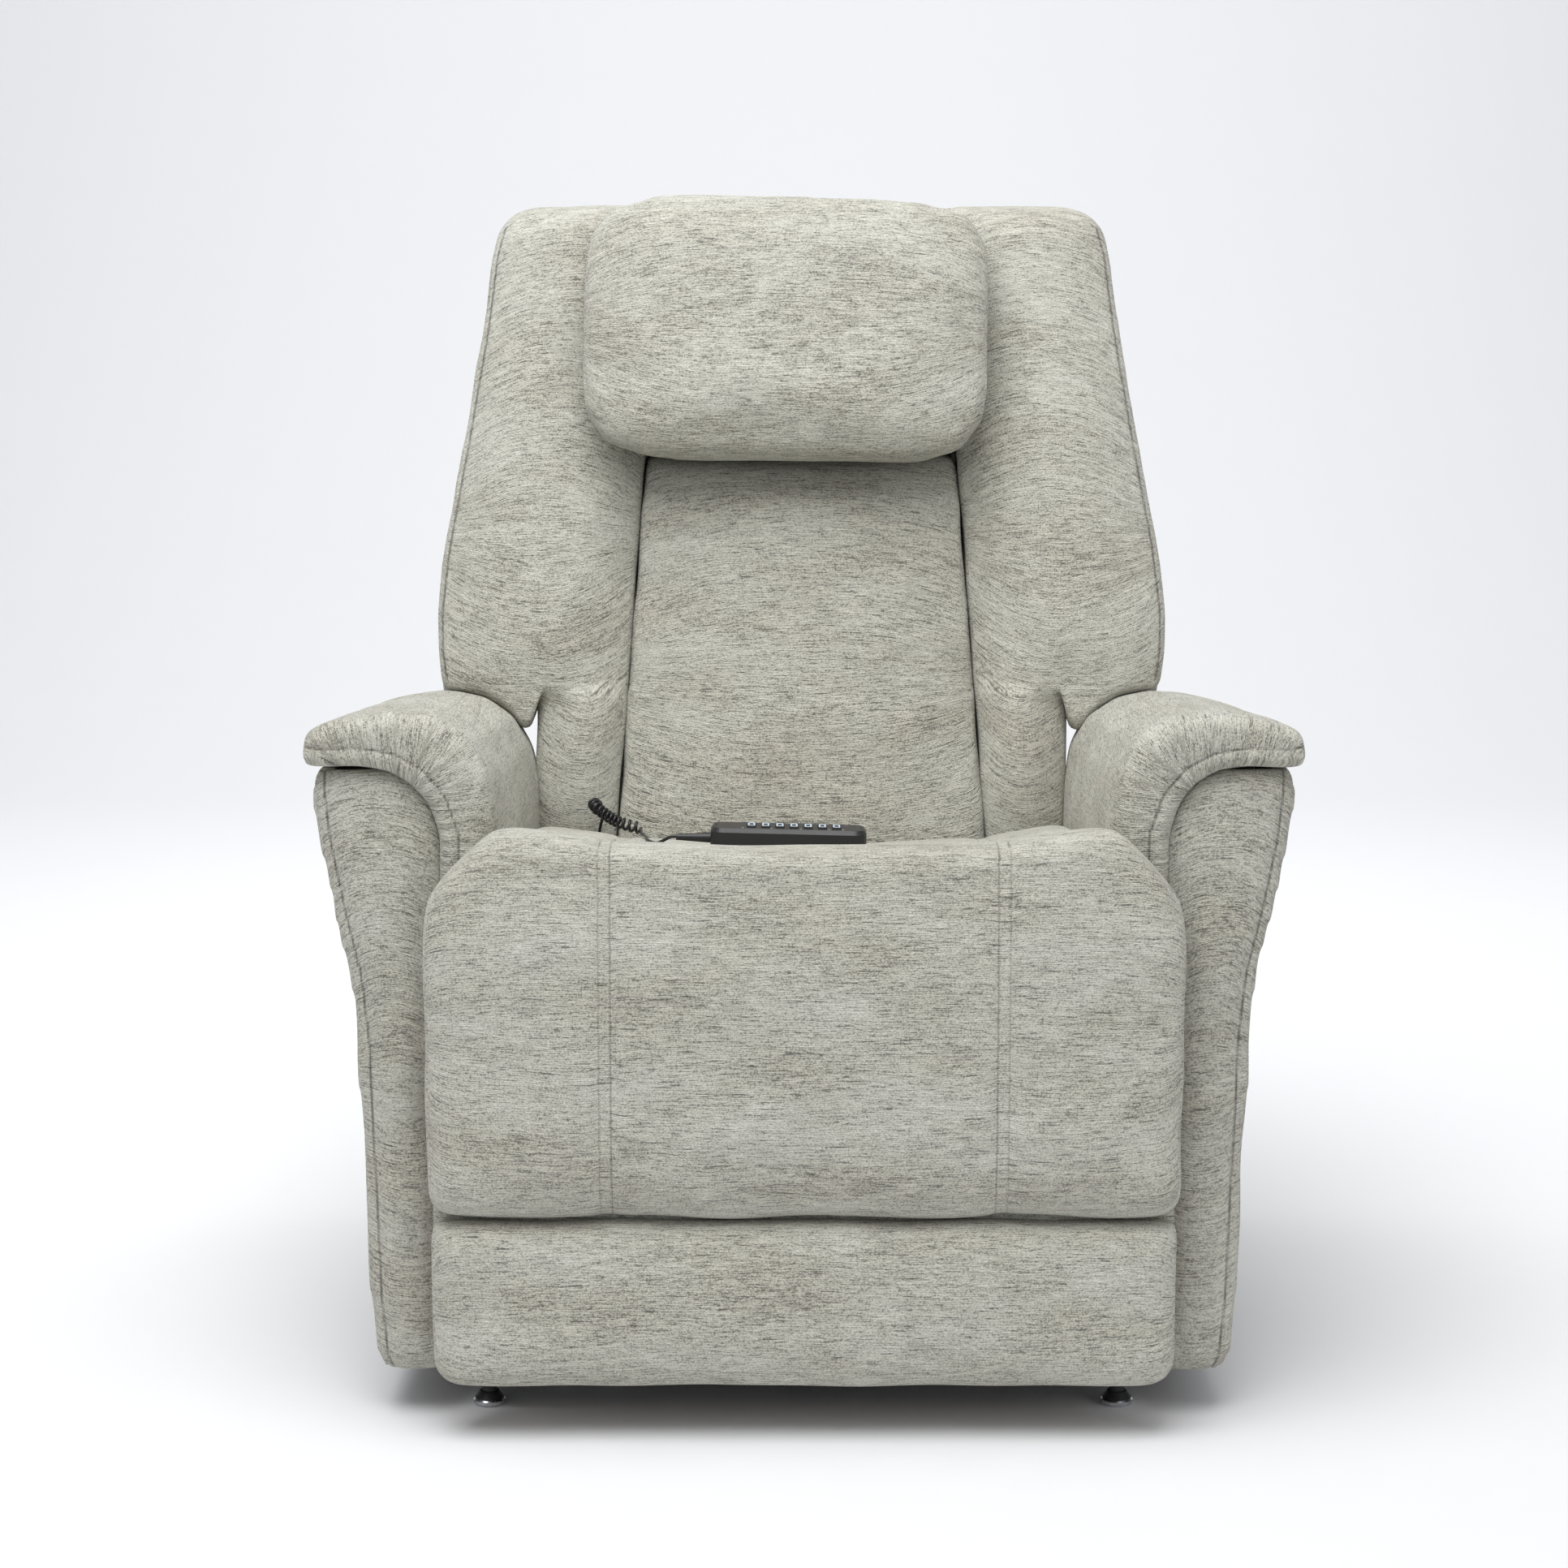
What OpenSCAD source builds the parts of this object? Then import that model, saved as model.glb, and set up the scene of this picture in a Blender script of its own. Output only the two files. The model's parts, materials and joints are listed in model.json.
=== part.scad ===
// Lift recliner chair: upholstered seat, back, arms and footrest on a powered lift base.
// Millimetres, +Z up, the sitter faces -Y, the floor is z = 0.
// Side views are written as [y, z] points; pivots run along X.

/* [Seat] */
// Clear width between the two arm pads
seat_w = 556; // [540:1:580]
// Height of the rear end of the seat surface
seat_rear_z = 452; // [446:1:458]
// Height of the front crest of the seat
crest_z = 549; // [545:1:553]
// Extra height of the seat surface along its sides
seat_dish = 14; // [6:1:18]
// Rear end of the seat cushion
seat_back_y = 112; // [106:1:114]
// Thickness of the timber seat rails
rail_t = 25; // [20:1:28]
// Height of the timber side rails
rail_h = 80; // [70:1:84]
// Underside of the seat rails
rail_z = 300; // [294:1:304]
// Radius of the tubes that carry the springs
spring_bar_r = 12; // [10:0.5:13]
// Number of seat springs
seat_spring_count = 6; // [4:1:8]
// Half thickness of the spring wire
spring_wire_r = 2; // [1.5:0.1:2.2]

/* [Front] */
// Front face of the footrest pads
front_y = -440; // [-446:1:-436]
// Thickness of the footrest pads
pad_t = 43; // [40:1:46]
// Thickness of the footrest board
board_t = 18; // [15:1:18]
// Half width of the chaise pad
chaise_half = 342; // [336:1:346]
// Half width of the lower footrest pad
lower_half = 339; // [332:1:346]
// Lower edge of the chaise pad
chaise_z = 203; // [198:1:210]
// Lower edge of the lower pad
lower_z = 46; // [42:1:52]
// Height of the footrest hinge
knee_z = 445; // [442:1:448]
// Distance of the two sewn channels from the middle
channel_x = 181; // [170:1:190]
// Depth of the sewn channels
channel_d = 4; // [2:0.5:6]

/* [Arms] */
// Thickness of the arm pad on the inner side
arm_pad_t = 51; // [46:1:54]
// Height of the arm pad at its front end
arm_top_z = 662; // [656:1:668]
// Drop of the arm top from front to rear
arm_drop = 56; // [52:1:60]
// Outer tip of the arm pad, from the middle
arm_tip_x = 455; // [450:1:460]
// Front end of the arm pad
arm_front_y = -378; // [-382:1:-374]
// Rear end of the arms
arm_rear_y = 208; // [200:1:212]
// Lower edge of the arm panels
arm_z = 41; // [36:1:50]
// Thickness of the outer arm panels
arm_panel_t = 18; // [14:1:20]
// Thickness of the padded arm fronts
arm_front_t = 24; // [20:1:26]

/* [Back] */
// Front face of the back at the height where it meets the seat
back_y = 121; // [119:1:126]
// Lean of the back from upright, in degrees
back_lean = 14; // [13.4:0.1:14.6]
// Top of the back
back_top_z = 1112; // [1106:1:1118]
// Half width of the back at its widest
wing_half = 384; // [378:1:388]
// Lower edge of the wings
wing_z = 617; // [615:1:622]
// Thickness of the back cushions
back_pad_t = 84; // [78:1:86]
// Forward bulge of the side bolsters
bolster_bulge = 16; // [10:1:18]
// Width of the back stiles
stile_w = 25; // [20:1:26]
// Depth of the back stiles
stile_d = 40; // [34:1:42]
// Wall of the outer back cover
cover_t = 12; // [9:1:14]

/* [Head pillow] */
// Width of the pillow
pillow_w = 430; // [410:1:450]
// Height of the pillow
pillow_h = 283; // [270:1:290]
// Thickness of the pillow
pillow_t = 92; // [84:1:94]
// Sideways shift of the pillow
pillow_shift = -16; // [-20:1:0]
// Tilt of the pillow in its own plane, in degrees
pillow_roll = 1.2; // [0:0.1:1.5]

/* [Base] */
// Side of the square base tube
base_tube = 35; // [30:1:38]
// Height of the tube above the floor
base_z = 25; // [22:1:28]
// Front end of the base
base_front_y = -345; // [-350:1:-343]
// Rear end of the base
base_rear_y = 262; // [250:1:280]
// Wall of the base tube
base_wall = 2.5; // [2:0.1:3]
// Radius of the bright glide discs
glide_r = 15; // [13:0.5:17]
// Width of the front motor bracket
motor_bracket_w = 45; // [42:1:50]

/* [Linkage] */
// Lift arm pivot on the base, along Y
lift_base_y = -250; // [-253:1:-247]
// Lift arm pivot on the base, height
lift_base_z = 146; // [143:1:149]
// Lift arm pivot on the carriage, along Y
lift_seat_y = 195; // [192:1:198]
// Lift arm pivot on the carriage, height
lift_seat_z = 152; // [149:1:155]
// Rocker pivot on the base, along Y
rocker_base_y = -330; // [-331:1:-328]
// Rocker pivot on the base, height
rocker_base_z = 108; // [106:1:110]
// Rocker pivot on the carriage, along Y
rocker_seat_y = -84; // [-87:1:-82]
// Rocker pivot on the carriage, height
rocker_seat_z = 86; // [84:1:88]
// Half height of the lift arms
lift_arm_r = 20; // [17:1:22]
// Half height of the rockers
rocker_r = 16; // [14:1:18]
// Thickness of the lift arms
lift_arm_t = 8; // [6:0.5:8]
// Thickness of the carriage side plates, brackets and rockers
plate_t = 6; // [5:0.5:6]
// Radius of the pivot bolts
bolt_r = 6; // [5:0.5:7]
// Distance of the torque tube from the front pivot of the lift arm
torque_at = 220; // [216:1:224]
// Radius of the torque tube
torque_r = 19; // [16:1:20]

/* [Actuators] */
// Radius of the actuator pins
pin_r = 5; // [4:0.5:5.5]
// Radius of the actuator outer tubes
act_tube_r = 17; // [15:0.5:18]
// Radius of the actuator rods
act_rod_r = 10; // [8:0.5:11]
// Radius of the electric motors
act_motor_r = 23; // [20:0.5:24]
// Lift motor position across the chair
lift_motor_x = 0; // [-10:1:10]
// Footrest motor position across the chair
footrest_motor_x = -90; // [-95:1:-80]
// Recline motor position across the chair
recline_motor_x = 90; // [80:1:95]

/* [Handset] */
// Length of the handset
handset_l = 148; // [144:1:152]
// Width of the handset
handset_w = 50; // [46:1:52]
// Thickness of the handset
handset_t = 23; // [21:1:24]
// Spacing of the rocker keys
key_pitch = 13.5; // [13:0.1:14]
// Length of a key along the handset
key_l = 8; // [7:0.5:9]
// Width of a key across the handset
key_w = 26; // [22:1:28]
// Diameter of the handset cord
cord_d = 3.2; // [3:0.1:3.3]
// Centre radius of the curls
curl_r = 5; // [4.8:0.1:5.2]

/* [Hidden] */
$fn = 48;

gap = 0.3;              // clearance between pieces that touch
run_gap = 0.06;         // radial clearance of a pivot
cloth = "#b5b3a8";
timber = "#c9a877";
steel = "#3a3b3d";
zinc = "#b9bcc0";
black = "#1b1b1d";

half = seat_w / 2;      // inner face of the arm pads
rail_out = half - gap;  // outer face of the seat rails

// Layers of the linkage, from the arm inwards
bracket_x = half - 1 - plate_t;
lift_arm_x = bracket_x - 1 - lift_arm_t;
plate_x = lift_arm_x - 2 - plate_t;
rocker_x = plate_x - 2 - plate_t - 2;
rocker_t = plate_t + 2;

// Pivots as [y, z]
lift_base = [lift_base_y, lift_base_z];
lift_seat = [lift_seat_y, lift_seat_z];
rocker_base = [rocker_base_y, rocker_base_z];
rocker_seat = [rocker_seat_y, rocker_seat_z];
knee = [-385, knee_z];
hip = [190, 400];
head_hinge = [222, 864];

// Travel of the three driven motions, in degrees, positive from +Y towards +Z
lift_travel = 53;
recline_travel = -50;
footrest_travel = -85;

// ---------- vector and linkage functions ----------
function turn(a, v) = [cos(a) * v[0] - sin(a) * v[1], sin(a) * v[0] + cos(a) * v[1]];
function angle_of(v) = atan2(v[1], v[0]);
function swung(p, pivot, a) = pivot + turn(a, p - pivot);
function mix(a, b, t) = a + (b - a) * t;
function clamp(v, lo, hi) = min(max(v, lo), hi);
function ramp(v, a, b) = clamp((v - a) / (b - a), 0, 1);
function smooth(t) = t * t * (3 - 2 * t);

// Place of the crank pin seen from the motor: its angle and distance at a share t of the travel
function crank(pivot, pin, motor, travel, t) = swung(pin, pivot, travel * t) - motor;
// Motor angle and rod length change in step with the travel; this is how far the rod's own
// pin centre then stands from the crank pin, along and across the rod
function rod_error(pivot, pin, motor, travel, t) =
  let (c0 = crank(pivot, pin, motor, travel, 0), c1 = crank(pivot, pin, motor, travel, 1))
  let (c = crank(pivot, pin, motor, travel, t))
  let (a = mix(angle_of(c0), angle_of(c0) + wrap(angle_of(c1) - angle_of(c0)), t))
  let (l = mix(norm(c0), norm(c1), t))
  turn(-a, c) - [l, 0];
function wrap(a) = a > 180 ? a - 360 : (a < -180 ? a + 360 : a);

// ---------- general shapes ----------
module pair() {
  children();
  mirror([1, 0, 0]) children();
}

// A [y, z] outline given thickness along X
module side_plate(x, t) {
  translate([x, 0, 0]) rotate([90, 0, 90]) linear_extrude(t) children();
}

// An [x, z] outline given thickness along Y
module front_plate(y, t) {
  translate([0, y + t, 0]) rotate([90, 0, 0]) linear_extrude(t) children();
}

module rod_x(p, x, l, r) {
  translate([x, p[0], p[1]]) rotate([0, 90, 0]) cylinder(r = r, h = l);
}

// Places children with their +Y axis pointing from p to q in the side view
module along(p, q, x) {
  translate([x, p[0], p[1]]) rotate([angle_of(q - p), 0, 0]) children();
}

// Round-ended bar outline between two side view points
module bar2d(p, q, r) {
  flat = r - 0.03;      // a hair inside the tangents, so that the outline has no sliver edges
  translate(p) circle(r);
  translate(q) circle(r);
  translate(p) rotate(angle_of(q - p)) translate([0, -flat]) square([norm(q - p), 2 * flat]);
}

module rounded2d(size, r) {
  translate([r, r]) offset(r) square([size[0] - 2 * r, size[1] - 2 * r]);
}

// A closed solid through equal rings; each ring runs out along one side and back along the
// other, so that its end is closed by a strip between the two halves. Seen from the last ring
// they run clockwise, or the other way round with flip
module loft(rings, flip = false) {
  n = len(rings);
  m = len(rings[0]);
  sides = [for (j = [0:n - 2]) for (i = [0:m - 1]) let (k = (i + 1) % m)
    each [[j * m + i, j * m + k, (j + 1) * m + k], [j * m + i, (j + 1) * m + k, (j + 1) * m + i]]];
  first = [for (i = [0:m / 2 - 2]) each [[i, m - 2 - i, i + 1], [i, m - 1 - i, m - 2 - i]]];
  last = [for (i = [0:m / 2 - 2]) let (b = (n - 1) * m)
    each [[b + i, b + i + 1, b + m - 2 - i], [b + i, b + m - 2 - i, b + m - 1 - i]]];
  faces = concat(sides, first, last);
  polyhedron([for (r = rings) each r], flip ? [for (f = faces) [f[2], f[1], f[0]]] : faces,
    convexity = 6);
}

// ---------- base ----------
module square_tube(size, wall) {
  difference() {
    cube(size);
    translate([size[0] > size[1] ? -1 : wall, size[0] > size[1] ? wall : -1, wall])
      cube([size[0] > size[1] ? size[0] + 2 : size[0] - 2 * wall,
        size[0] > size[1] ? size[1] - 2 * wall : size[1] + 2, size[2] - 2 * wall]);
  }
}

base_rail_x = bracket_x + plate_t;
lift_motor_pivot = [-275, 38];
motor_ear_t = 5;
bumper_h = 18;
bumper_y = lift_seat_y - 30;
bumper_z = lookup(bumper_y - 10, [lift_base, lift_seat]) - lift_arm_r - 0.05;

module base_bracket() {
  difference() {
    side_plate(bracket_x, plate_t) {
      bar2d(lift_base, [lift_base_y - 20, base_z + 20], 20);
      bar2d(lift_base, [lift_base_y + 50, base_z + 20], 20);
      bar2d(rocker_base, [lift_base_y - 20, base_z + 20], 15);
      bar2d(rocker_base, [rocker_base_y + 2, base_z + 18], 15);
      translate([base_front_y, base_z]) square([170, base_tube]);
    }
    rod_x(lift_base, bracket_x - 1, plate_t + 2, bolt_r + run_gap);
    rod_x(rocker_base, bracket_x - 1, plate_t + 2, bolt_r + run_gap);
  }
}

module stop_post() {
  side_plate(bracket_x, plate_t)
    translate([bumper_y - 22, base_z]) square([44, bumper_z - bumper_h - gap - base_z]);
  translate([lift_arm_x - 8, bumper_y - 22, bumper_z - bumper_h - gap - 5])
    cube([bracket_x - lift_arm_x + 10, 44, 5]);
}

// Two ears from a tube to the pin of a motor, their holes of radius hole
module motor_ears(w, from, to, r, hole) {
  for (s = [-1, 1])
    difference() {
      side_plate(s * (w / 2 - motor_ear_t / 2) - motor_ear_t / 2, motor_ear_t) {
        bar2d(from, to, r);
        children();
      }
      rod_x(to, -w, 2 * w, hole);
    }
}

module base_frame() {
  color(steel) {
    pair() {
      translate([base_rail_x, base_front_y, base_z])
        square_tube([base_tube, base_rear_y - base_front_y, base_tube], base_wall);
      base_bracket();
      stop_post();
    }
    for (y = [base_front_y, base_rear_y - base_tube])
      translate([-base_rail_x, y, base_z])
        square_tube([2 * base_rail_x, base_tube, base_tube], base_wall);
    translate([lift_motor_x, 0, 0])
      motor_ears(motor_bracket_w, [base_front_y + base_tube + 4, base_z + 12], lift_motor_pivot,
        16, pin_r + run_gap)
        translate([base_front_y + base_tube, 10]) square([30, base_z + base_tube - 14]);
  }
}

glide_y = [base_front_y + base_tube / 2, base_rear_y - base_tube / 2];
glide_x = base_rail_x + base_tube / 2;
disc_h = 7;

module at_glides() {
  for (s = [-1, 1])
    for (y = glide_y)
      translate([s * glide_x, y, 0]) children();
}

module glide_stems() {
  color(black) at_glides() {
    translate([0, 0, disc_h]) cylinder(r1 = glide_r - 1, r2 = 9, h = 6);
    translate([0, 0, disc_h + 6]) cylinder(r = 7, h = base_z - disc_h - 6);
  }
}

module glide_discs() {
  color(zinc) at_glides()
    rotate_extrude() polygon([[0, 0], [glide_r - 2, 0], [glide_r, 2], [glide_r, 5],
      [glide_r - 2, disc_h], [0, disc_h]]);
}

module stop_bumpers() {
  color(black) pair()
    translate([lift_arm_x + lift_arm_t / 2, bumper_y, bumper_z - bumper_h - gap])
      rotate_extrude() polygon([[0, 0], [10, 0], [10, 4], [7, bumper_h], [0, bumper_h]]);
}

module headed_bolt(p, x0, x1, head_x, head_t) {
  rod_x(p, x0, x1 - x0, bolt_r);
  translate([head_x, p[0], p[1]]) rotate([0, 90, 0]) cylinder(r = bolt_r + 4, h = head_t, $fn = 6);
}

module base_pivot_bolts() {
  color(zinc) {
    pair() {
      headed_bolt(lift_base, lift_arm_x - 5, bracket_x + plate_t + 4, bracket_x + plate_t + gap, 4);
      rod_x(lift_base, lift_arm_x - 5, 4.6, bolt_r + 3);
      headed_bolt(rocker_base, rocker_x - 5, bracket_x + plate_t + 4, bracket_x + plate_t + gap, 4);
      rod_x(rocker_base, rocker_x - 5, 4.6, bolt_r + 3);
      rod_x(rocker_base, rocker_x + rocker_t + gap, bracket_x - rocker_x - rocker_t - 2 * gap,
        bolt_r + 3);
    }
    rod_x(lift_motor_pivot, lift_motor_x - motor_bracket_w / 2 - 2, motor_bracket_w + 4, pin_r);
  }
}

supply_size = [150, 64, 38];
supply_at = [-220, base_rear_y - base_tube - supply_size[1] - gap, base_z];

module power_supply() {
  color(black) translate(supply_at) difference() {
    union() {
      linear_extrude(supply_size[2]) rounded2d([supply_size[0], supply_size[1]], 8);
      for (x = [-12, supply_size[0]])
        translate([x, 14, 0]) cube([12, supply_size[1] - 14 + gap, 4]);
      for (i = [0:5])
        translate([30 + i * 16, 8, supply_size[2]]) cube([6, supply_size[1] - 16, 1.6]);
    }
    translate([-1, 22, 9]) cube([15, 20, 14]);
    translate([supply_size[0] - 12, 24, 18]) rotate([0, 90, 0]) cylinder(r = 5, h = 20);
    translate([supply_size[0] - 12, 42, 18]) rotate([0, 90, 0]) cylinder(r = 5, h = 20);
  }
}

// ---------- lift linkage ----------
lift_dir = angle_of(lift_seat - lift_base);
torque_p = lift_base + turn(lift_dir, [torque_at, 0]);
lift_pin = [-48, 60];
lug_t = 9.4;

module lift_arms() {
  color(steel) {
    pair() difference() {
      side_plate(lift_arm_x, lift_arm_t) bar2d(lift_base, lift_seat, lift_arm_r);
      rod_x(lift_base, lift_arm_x - 1, lift_arm_t + 2, bolt_r + run_gap);
      rod_x(lift_seat, lift_arm_x - 1, lift_arm_t + 2, bolt_r + run_gap);
    }
    difference() {
      rod_x(torque_p, -lift_arm_x - 1, 2 * lift_arm_x + 2, torque_r);
      rod_x(torque_p, -lift_arm_x - 2, 2 * lift_arm_x + 4, torque_r - 3);
    }
    difference() {
      side_plate(lift_motor_x - lug_t / 2, lug_t) difference() {
        union() {
          bar2d(torque_p, lift_pin, 13);
          translate(torque_p) circle(torque_r + 4);
        }
        translate(torque_p) circle(torque_r - 1);
      }
      rod_x(lift_pin, lift_motor_x - lug_t, 2 * lug_t, pin_r - 0.5);
    }
    rod_x(lift_pin, lift_motor_x - 15, 30, pin_r);
  }
}

module lift_arm_bolts() {
  color(zinc) pair() {
    headed_bolt(lift_seat, plate_x - 4, lift_arm_x + lift_arm_t + 4,
      lift_arm_x + lift_arm_t + gap, 4);
    rod_x(lift_seat, plate_x - 5, 4.6, bolt_r + 3);
  }
}

module lift_rockers() {
  color(steel) pair() difference() {
    side_plate(rocker_x, rocker_t) bar2d(rocker_base, rocker_seat, rocker_r);
    rod_x(rocker_base, rocker_x - 1, rocker_t + 2, bolt_r + run_gap);
    rod_x(rocker_seat, rocker_x - 1, rocker_t + 2, bolt_r + 0.7);
  }
}

// ---------- actuators, drawn along +Y from their pivot ----------
// back: housing behind the pivot, front: housing before it, depth: bore for the rod.
// With back = 0 the motor hangs on an eye behind its gearbox, otherwise on two side trunnions
eye_l = 18;
module act_housing(back, front, depth) {
  start = back > 0 ? -back : eye_l;
  difference() {
    union() {
      rotate([-90, 0, 0]) translate([0, 0, start]) cylinder(r = act_tube_r, h = front - start);
      translate([-20, start, -19]) cube([40, 48, 38]);
      translate([act_motor_r + 14, start + 8, 0])
        rotate([-90, 0, 0]) cylinder(r = act_motor_r, h = 100);
      translate([0, start + 8, -15]) cube([act_motor_r + 14, 36, 30]);
      if (back > 0)
        rod_x([0, 0], -act_tube_r - 8, 2 * act_tube_r + 16, 9);
      else {
        rod_x([0, 0], -11, 22, 13);
        translate([-11, 0, -13]) cube([22, eye_l + 1, 26]);
      }
    }
    rotate([-90, 0, 0]) translate([0, 0, front - depth]) cylinder(r = act_rod_r + gap, h = depth + 1);
    if (back > 0)
      for (s = [-1, 1])
        rod_x([0, 0], s * (act_tube_r + 5) - 6, 12, pin_r + run_gap);
    else
      rod_x([0, 0], -20, 40, pin_r + run_gap);
  }
}

// from: inner end of the rod, to: its pin centre; slot: how far the pin travels in the clevis
module act_rod(from, to, slot) {
  ear = pin_r + 7;
  slot_r = pin_r + 1.3;
  rotate([-90, 0, 0]) translate([0, 0, from]) cylinder(r = act_rod_r, h = to - ear - 18 - from);
  difference() {
    union() {
      translate([-13, to - ear - 20, -ear]) cube([26, 12, 2 * ear]);
      for (s = [-1, 1])
        side_plate(s * 9.5 - 3.5, 7) {
          bar2d([to, 0], [to, 0] + slot, ear);
          translate([to - ear - 14, -ear]) square([ear + 14, 2 * ear]);
        }
    }
    translate([-20, 0, 0]) rotate([90, 0, 90]) linear_extrude(40)
      bar2d([to, 0], [to, 0] + slot, slot_r);
  }
}

lift_motor_l = norm(lift_pin - lift_motor_pivot);
lift_stroke = norm(swung(lift_pin, lift_base, lift_travel) - lift_motor_pivot) - lift_motor_l;
lift_housing_l = lift_motor_l - 44;
lift_slot = rod_error(lift_base, lift_pin, lift_motor_pivot, lift_travel, 0.5);

module lift_motor() {
  color(black) along(lift_motor_pivot, lift_pin, lift_motor_x)
    act_housing(0, lift_housing_l, lift_stroke + 34);
}

module lift_motor_rod() {
  color(zinc) along(lift_motor_pivot, lift_pin, lift_motor_x)
    act_rod(lift_housing_l - lift_stroke - 30, lift_motor_l, lift_slot);
}

recline_motor_pivot = [117.4, 330];
recline_pin = [274.5, 345];
recline_motor_l = norm(recline_pin - recline_motor_pivot);
recline_stroke = norm(swung(recline_pin, hip, recline_travel) - recline_motor_pivot) - recline_motor_l;
recline_front = 56;
recline_slot = rod_error(hip, recline_pin, recline_motor_pivot, recline_travel, 0.5);

module recline_motor() {
  color(black) along(recline_motor_pivot, recline_pin, recline_motor_x)
    act_housing(120, recline_front, recline_front + 60);
}

module recline_motor_rod() {
  color(zinc) along(recline_motor_pivot, recline_pin, recline_motor_x)
    act_rod(recline_front - 26, recline_motor_l, recline_slot);
}

footrest_motor_pivot = [100, 240];
footrest_pin = [-367.5, 404];
footrest_motor_l = norm(footrest_pin - footrest_motor_pivot);
footrest_stroke = norm(swung(footrest_pin, knee, footrest_travel) - footrest_motor_pivot) - footrest_motor_l;
footrest_housing_l = 300;
footrest_slot = rod_error(knee, footrest_pin, footrest_motor_pivot, footrest_travel, 0.5);

module footrest_motor() {
  color(black) along(footrest_motor_pivot, footrest_pin, footrest_motor_x)
    act_housing(0, footrest_housing_l, footrest_stroke + 60);
}

module footrest_motor_rod() {
  color(zinc) along(footrest_motor_pivot, footrest_pin, footrest_motor_x)
    act_rod(footrest_housing_l - 55, footrest_motor_l, footrest_slot);
}

// ---------- carriage and seat frame ----------
cross_rear = [140, 236];
cross_front = [-290, 275];
cross_r = 14;

module carriage_frame() {
  color(steel) {
    pair() difference() {
      union() {
        side_plate(plate_x, plate_t) {
          bar2d(rocker_seat, [rocker_seat_y - 30, rail_z - 30], 18);
          bar2d(lift_seat, [lift_seat_y - 5, rail_z - 20], 20);
          translate([-320, rail_z - 50]) square([535, 50 - gap]);
          polygon([[-320, rail_z - 50], [-170, rail_z - 50], [rocker_seat_y - 44, rail_z - 90],
            [rocker_seat_y - 30, rail_z - 130], [rocker_seat_y, rail_z - 110], [-40, rail_z - 50],
            [110, rail_z - 50], [lift_seat_y - 22, rail_z - 90], [lift_seat_y + 15, rail_z - 90],
            [215, rail_z - 50], [215, rail_z - 20], [-320, rail_z - 20]]);
        }
        translate([plate_x - 30, -320, rail_z - gap - 5]) cube([32, 535, 5]);
      }
      rod_x(lift_seat, plate_x - 1, plate_t + 2, bolt_r + run_gap);
      rod_x(rocker_seat, plate_x - 1, plate_t + 2, bolt_r - 1);
    }
    for (p = [cross_rear, cross_front])
      difference() {
        rod_x(p, -plate_x - 1, 2 * plate_x + 2, cross_r);
        rod_x(p, -plate_x - 2, 2 * plate_x + 4, cross_r - 2.5);
      }
    translate([footrest_motor_x, 0, 0])
      motor_ears(34, cross_rear - [cross_r + 2, 0], footrest_motor_pivot, 11, pin_r - 1);
    translate([recline_motor_x, 0, 0])
      motor_ears(2 * act_tube_r + 28, cross_rear + [0, cross_r + 2], recline_motor_pivot, 11,
        pin_r - 1);
    rod_x(footrest_motor_pivot, footrest_motor_x - 19, 38, pin_r);
    for (s = [-1, 1])
      rod_x(recline_motor_pivot, recline_motor_x + s * (act_tube_r + 7) - 8, 16, pin_r);
  }
}

module rocker_studs() {
  color(zinc) pair() {
    rod_x(rocker_seat, rocker_x - 5, plate_x + plate_t - rocker_x + 5, bolt_r - 1 - gap / 10);
    rod_x(rocker_seat, rocker_x - 0.5, plate_x - rocker_x, bolt_r);
    rod_x(rocker_seat, rocker_x - 5, 4.6, bolt_r + 3);
  }
}

rail_front_y = -330;
rail_rear_y = 190;
front_rail_h = 50;

module seat_box() {
  color(timber) {
    pair() difference() {
      translate([rail_out - rail_t, rail_front_y, rail_z])
        cube([rail_t, rail_rear_y - rail_front_y, rail_h]);
      rod_x(rear_bar, rail_out - rail_t - 1, 9, spring_bar_r + gap);
    }
    translate([-rail_out + rail_t, rail_front_y, rail_z])
      cube([2 * (rail_out - rail_t), rail_t, front_rail_h]);
    pair() translate([rail_out - rail_t - 30, rail_front_y + rail_t, rail_z])
      cube([30, 30, front_rail_h]);
    pair() side_plate(rail_out - rail_t, rail_t)
      polygon([[rail_front_y, rail_z + rail_h], [rail_front_y + 90, rail_z + rail_h],
        [front_bar[0] + 22, front_bar[1] + spring_bar_r + 2],
        [front_bar[0] - 20, front_bar[1] + spring_bar_r + 2]]);
  }
}

front_bar = [-270, 415];
rear_bar = [165, rail_z + rail_h - 8];

module spring_bars() {
  color(steel) {
    rod_x(front_bar, -rail_out + rail_t + gap, 2 * (rail_out - rail_t - gap), spring_bar_r);
    rod_x(rear_bar, -rail_out + rail_t - 7, 2 * (rail_out - rail_t + 7), spring_bar_r);
  }
}

// A sinuous flat wire from p to q at a place x: half round bends joined by straight runs of l
module sinuous(p, q, x, l, bends) {
  step = norm(q - p) / bends;
  along(p, q, x) translate([0, 0, -spring_wire_r]) linear_extrude(2 * spring_wire_r) {
    for (i = [0:bends - 1])
      translate([i % 2 == 0 ? l / 2 : -l / 2, (i + 0.5) * step]) difference() {
        circle(step / 2 + spring_wire_r);
        circle(step / 2 - spring_wire_r);
        translate([i % 2 == 0 ? -step : 0, -step]) square([step, 2 * step]);
      }
    for (i = [0:bends])
      translate([i % bends == 0 ? 0 : -l / 2, i * step - spring_wire_r])
        square([i % bends == 0 ? l / 2 : l, 2 * spring_wire_r]);
  }
}

spring_line = [front_bar + [0, spring_bar_r + spring_wire_r + 0.1],
  rear_bar + [0, spring_bar_r + spring_wire_r + 0.1]];
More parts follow.
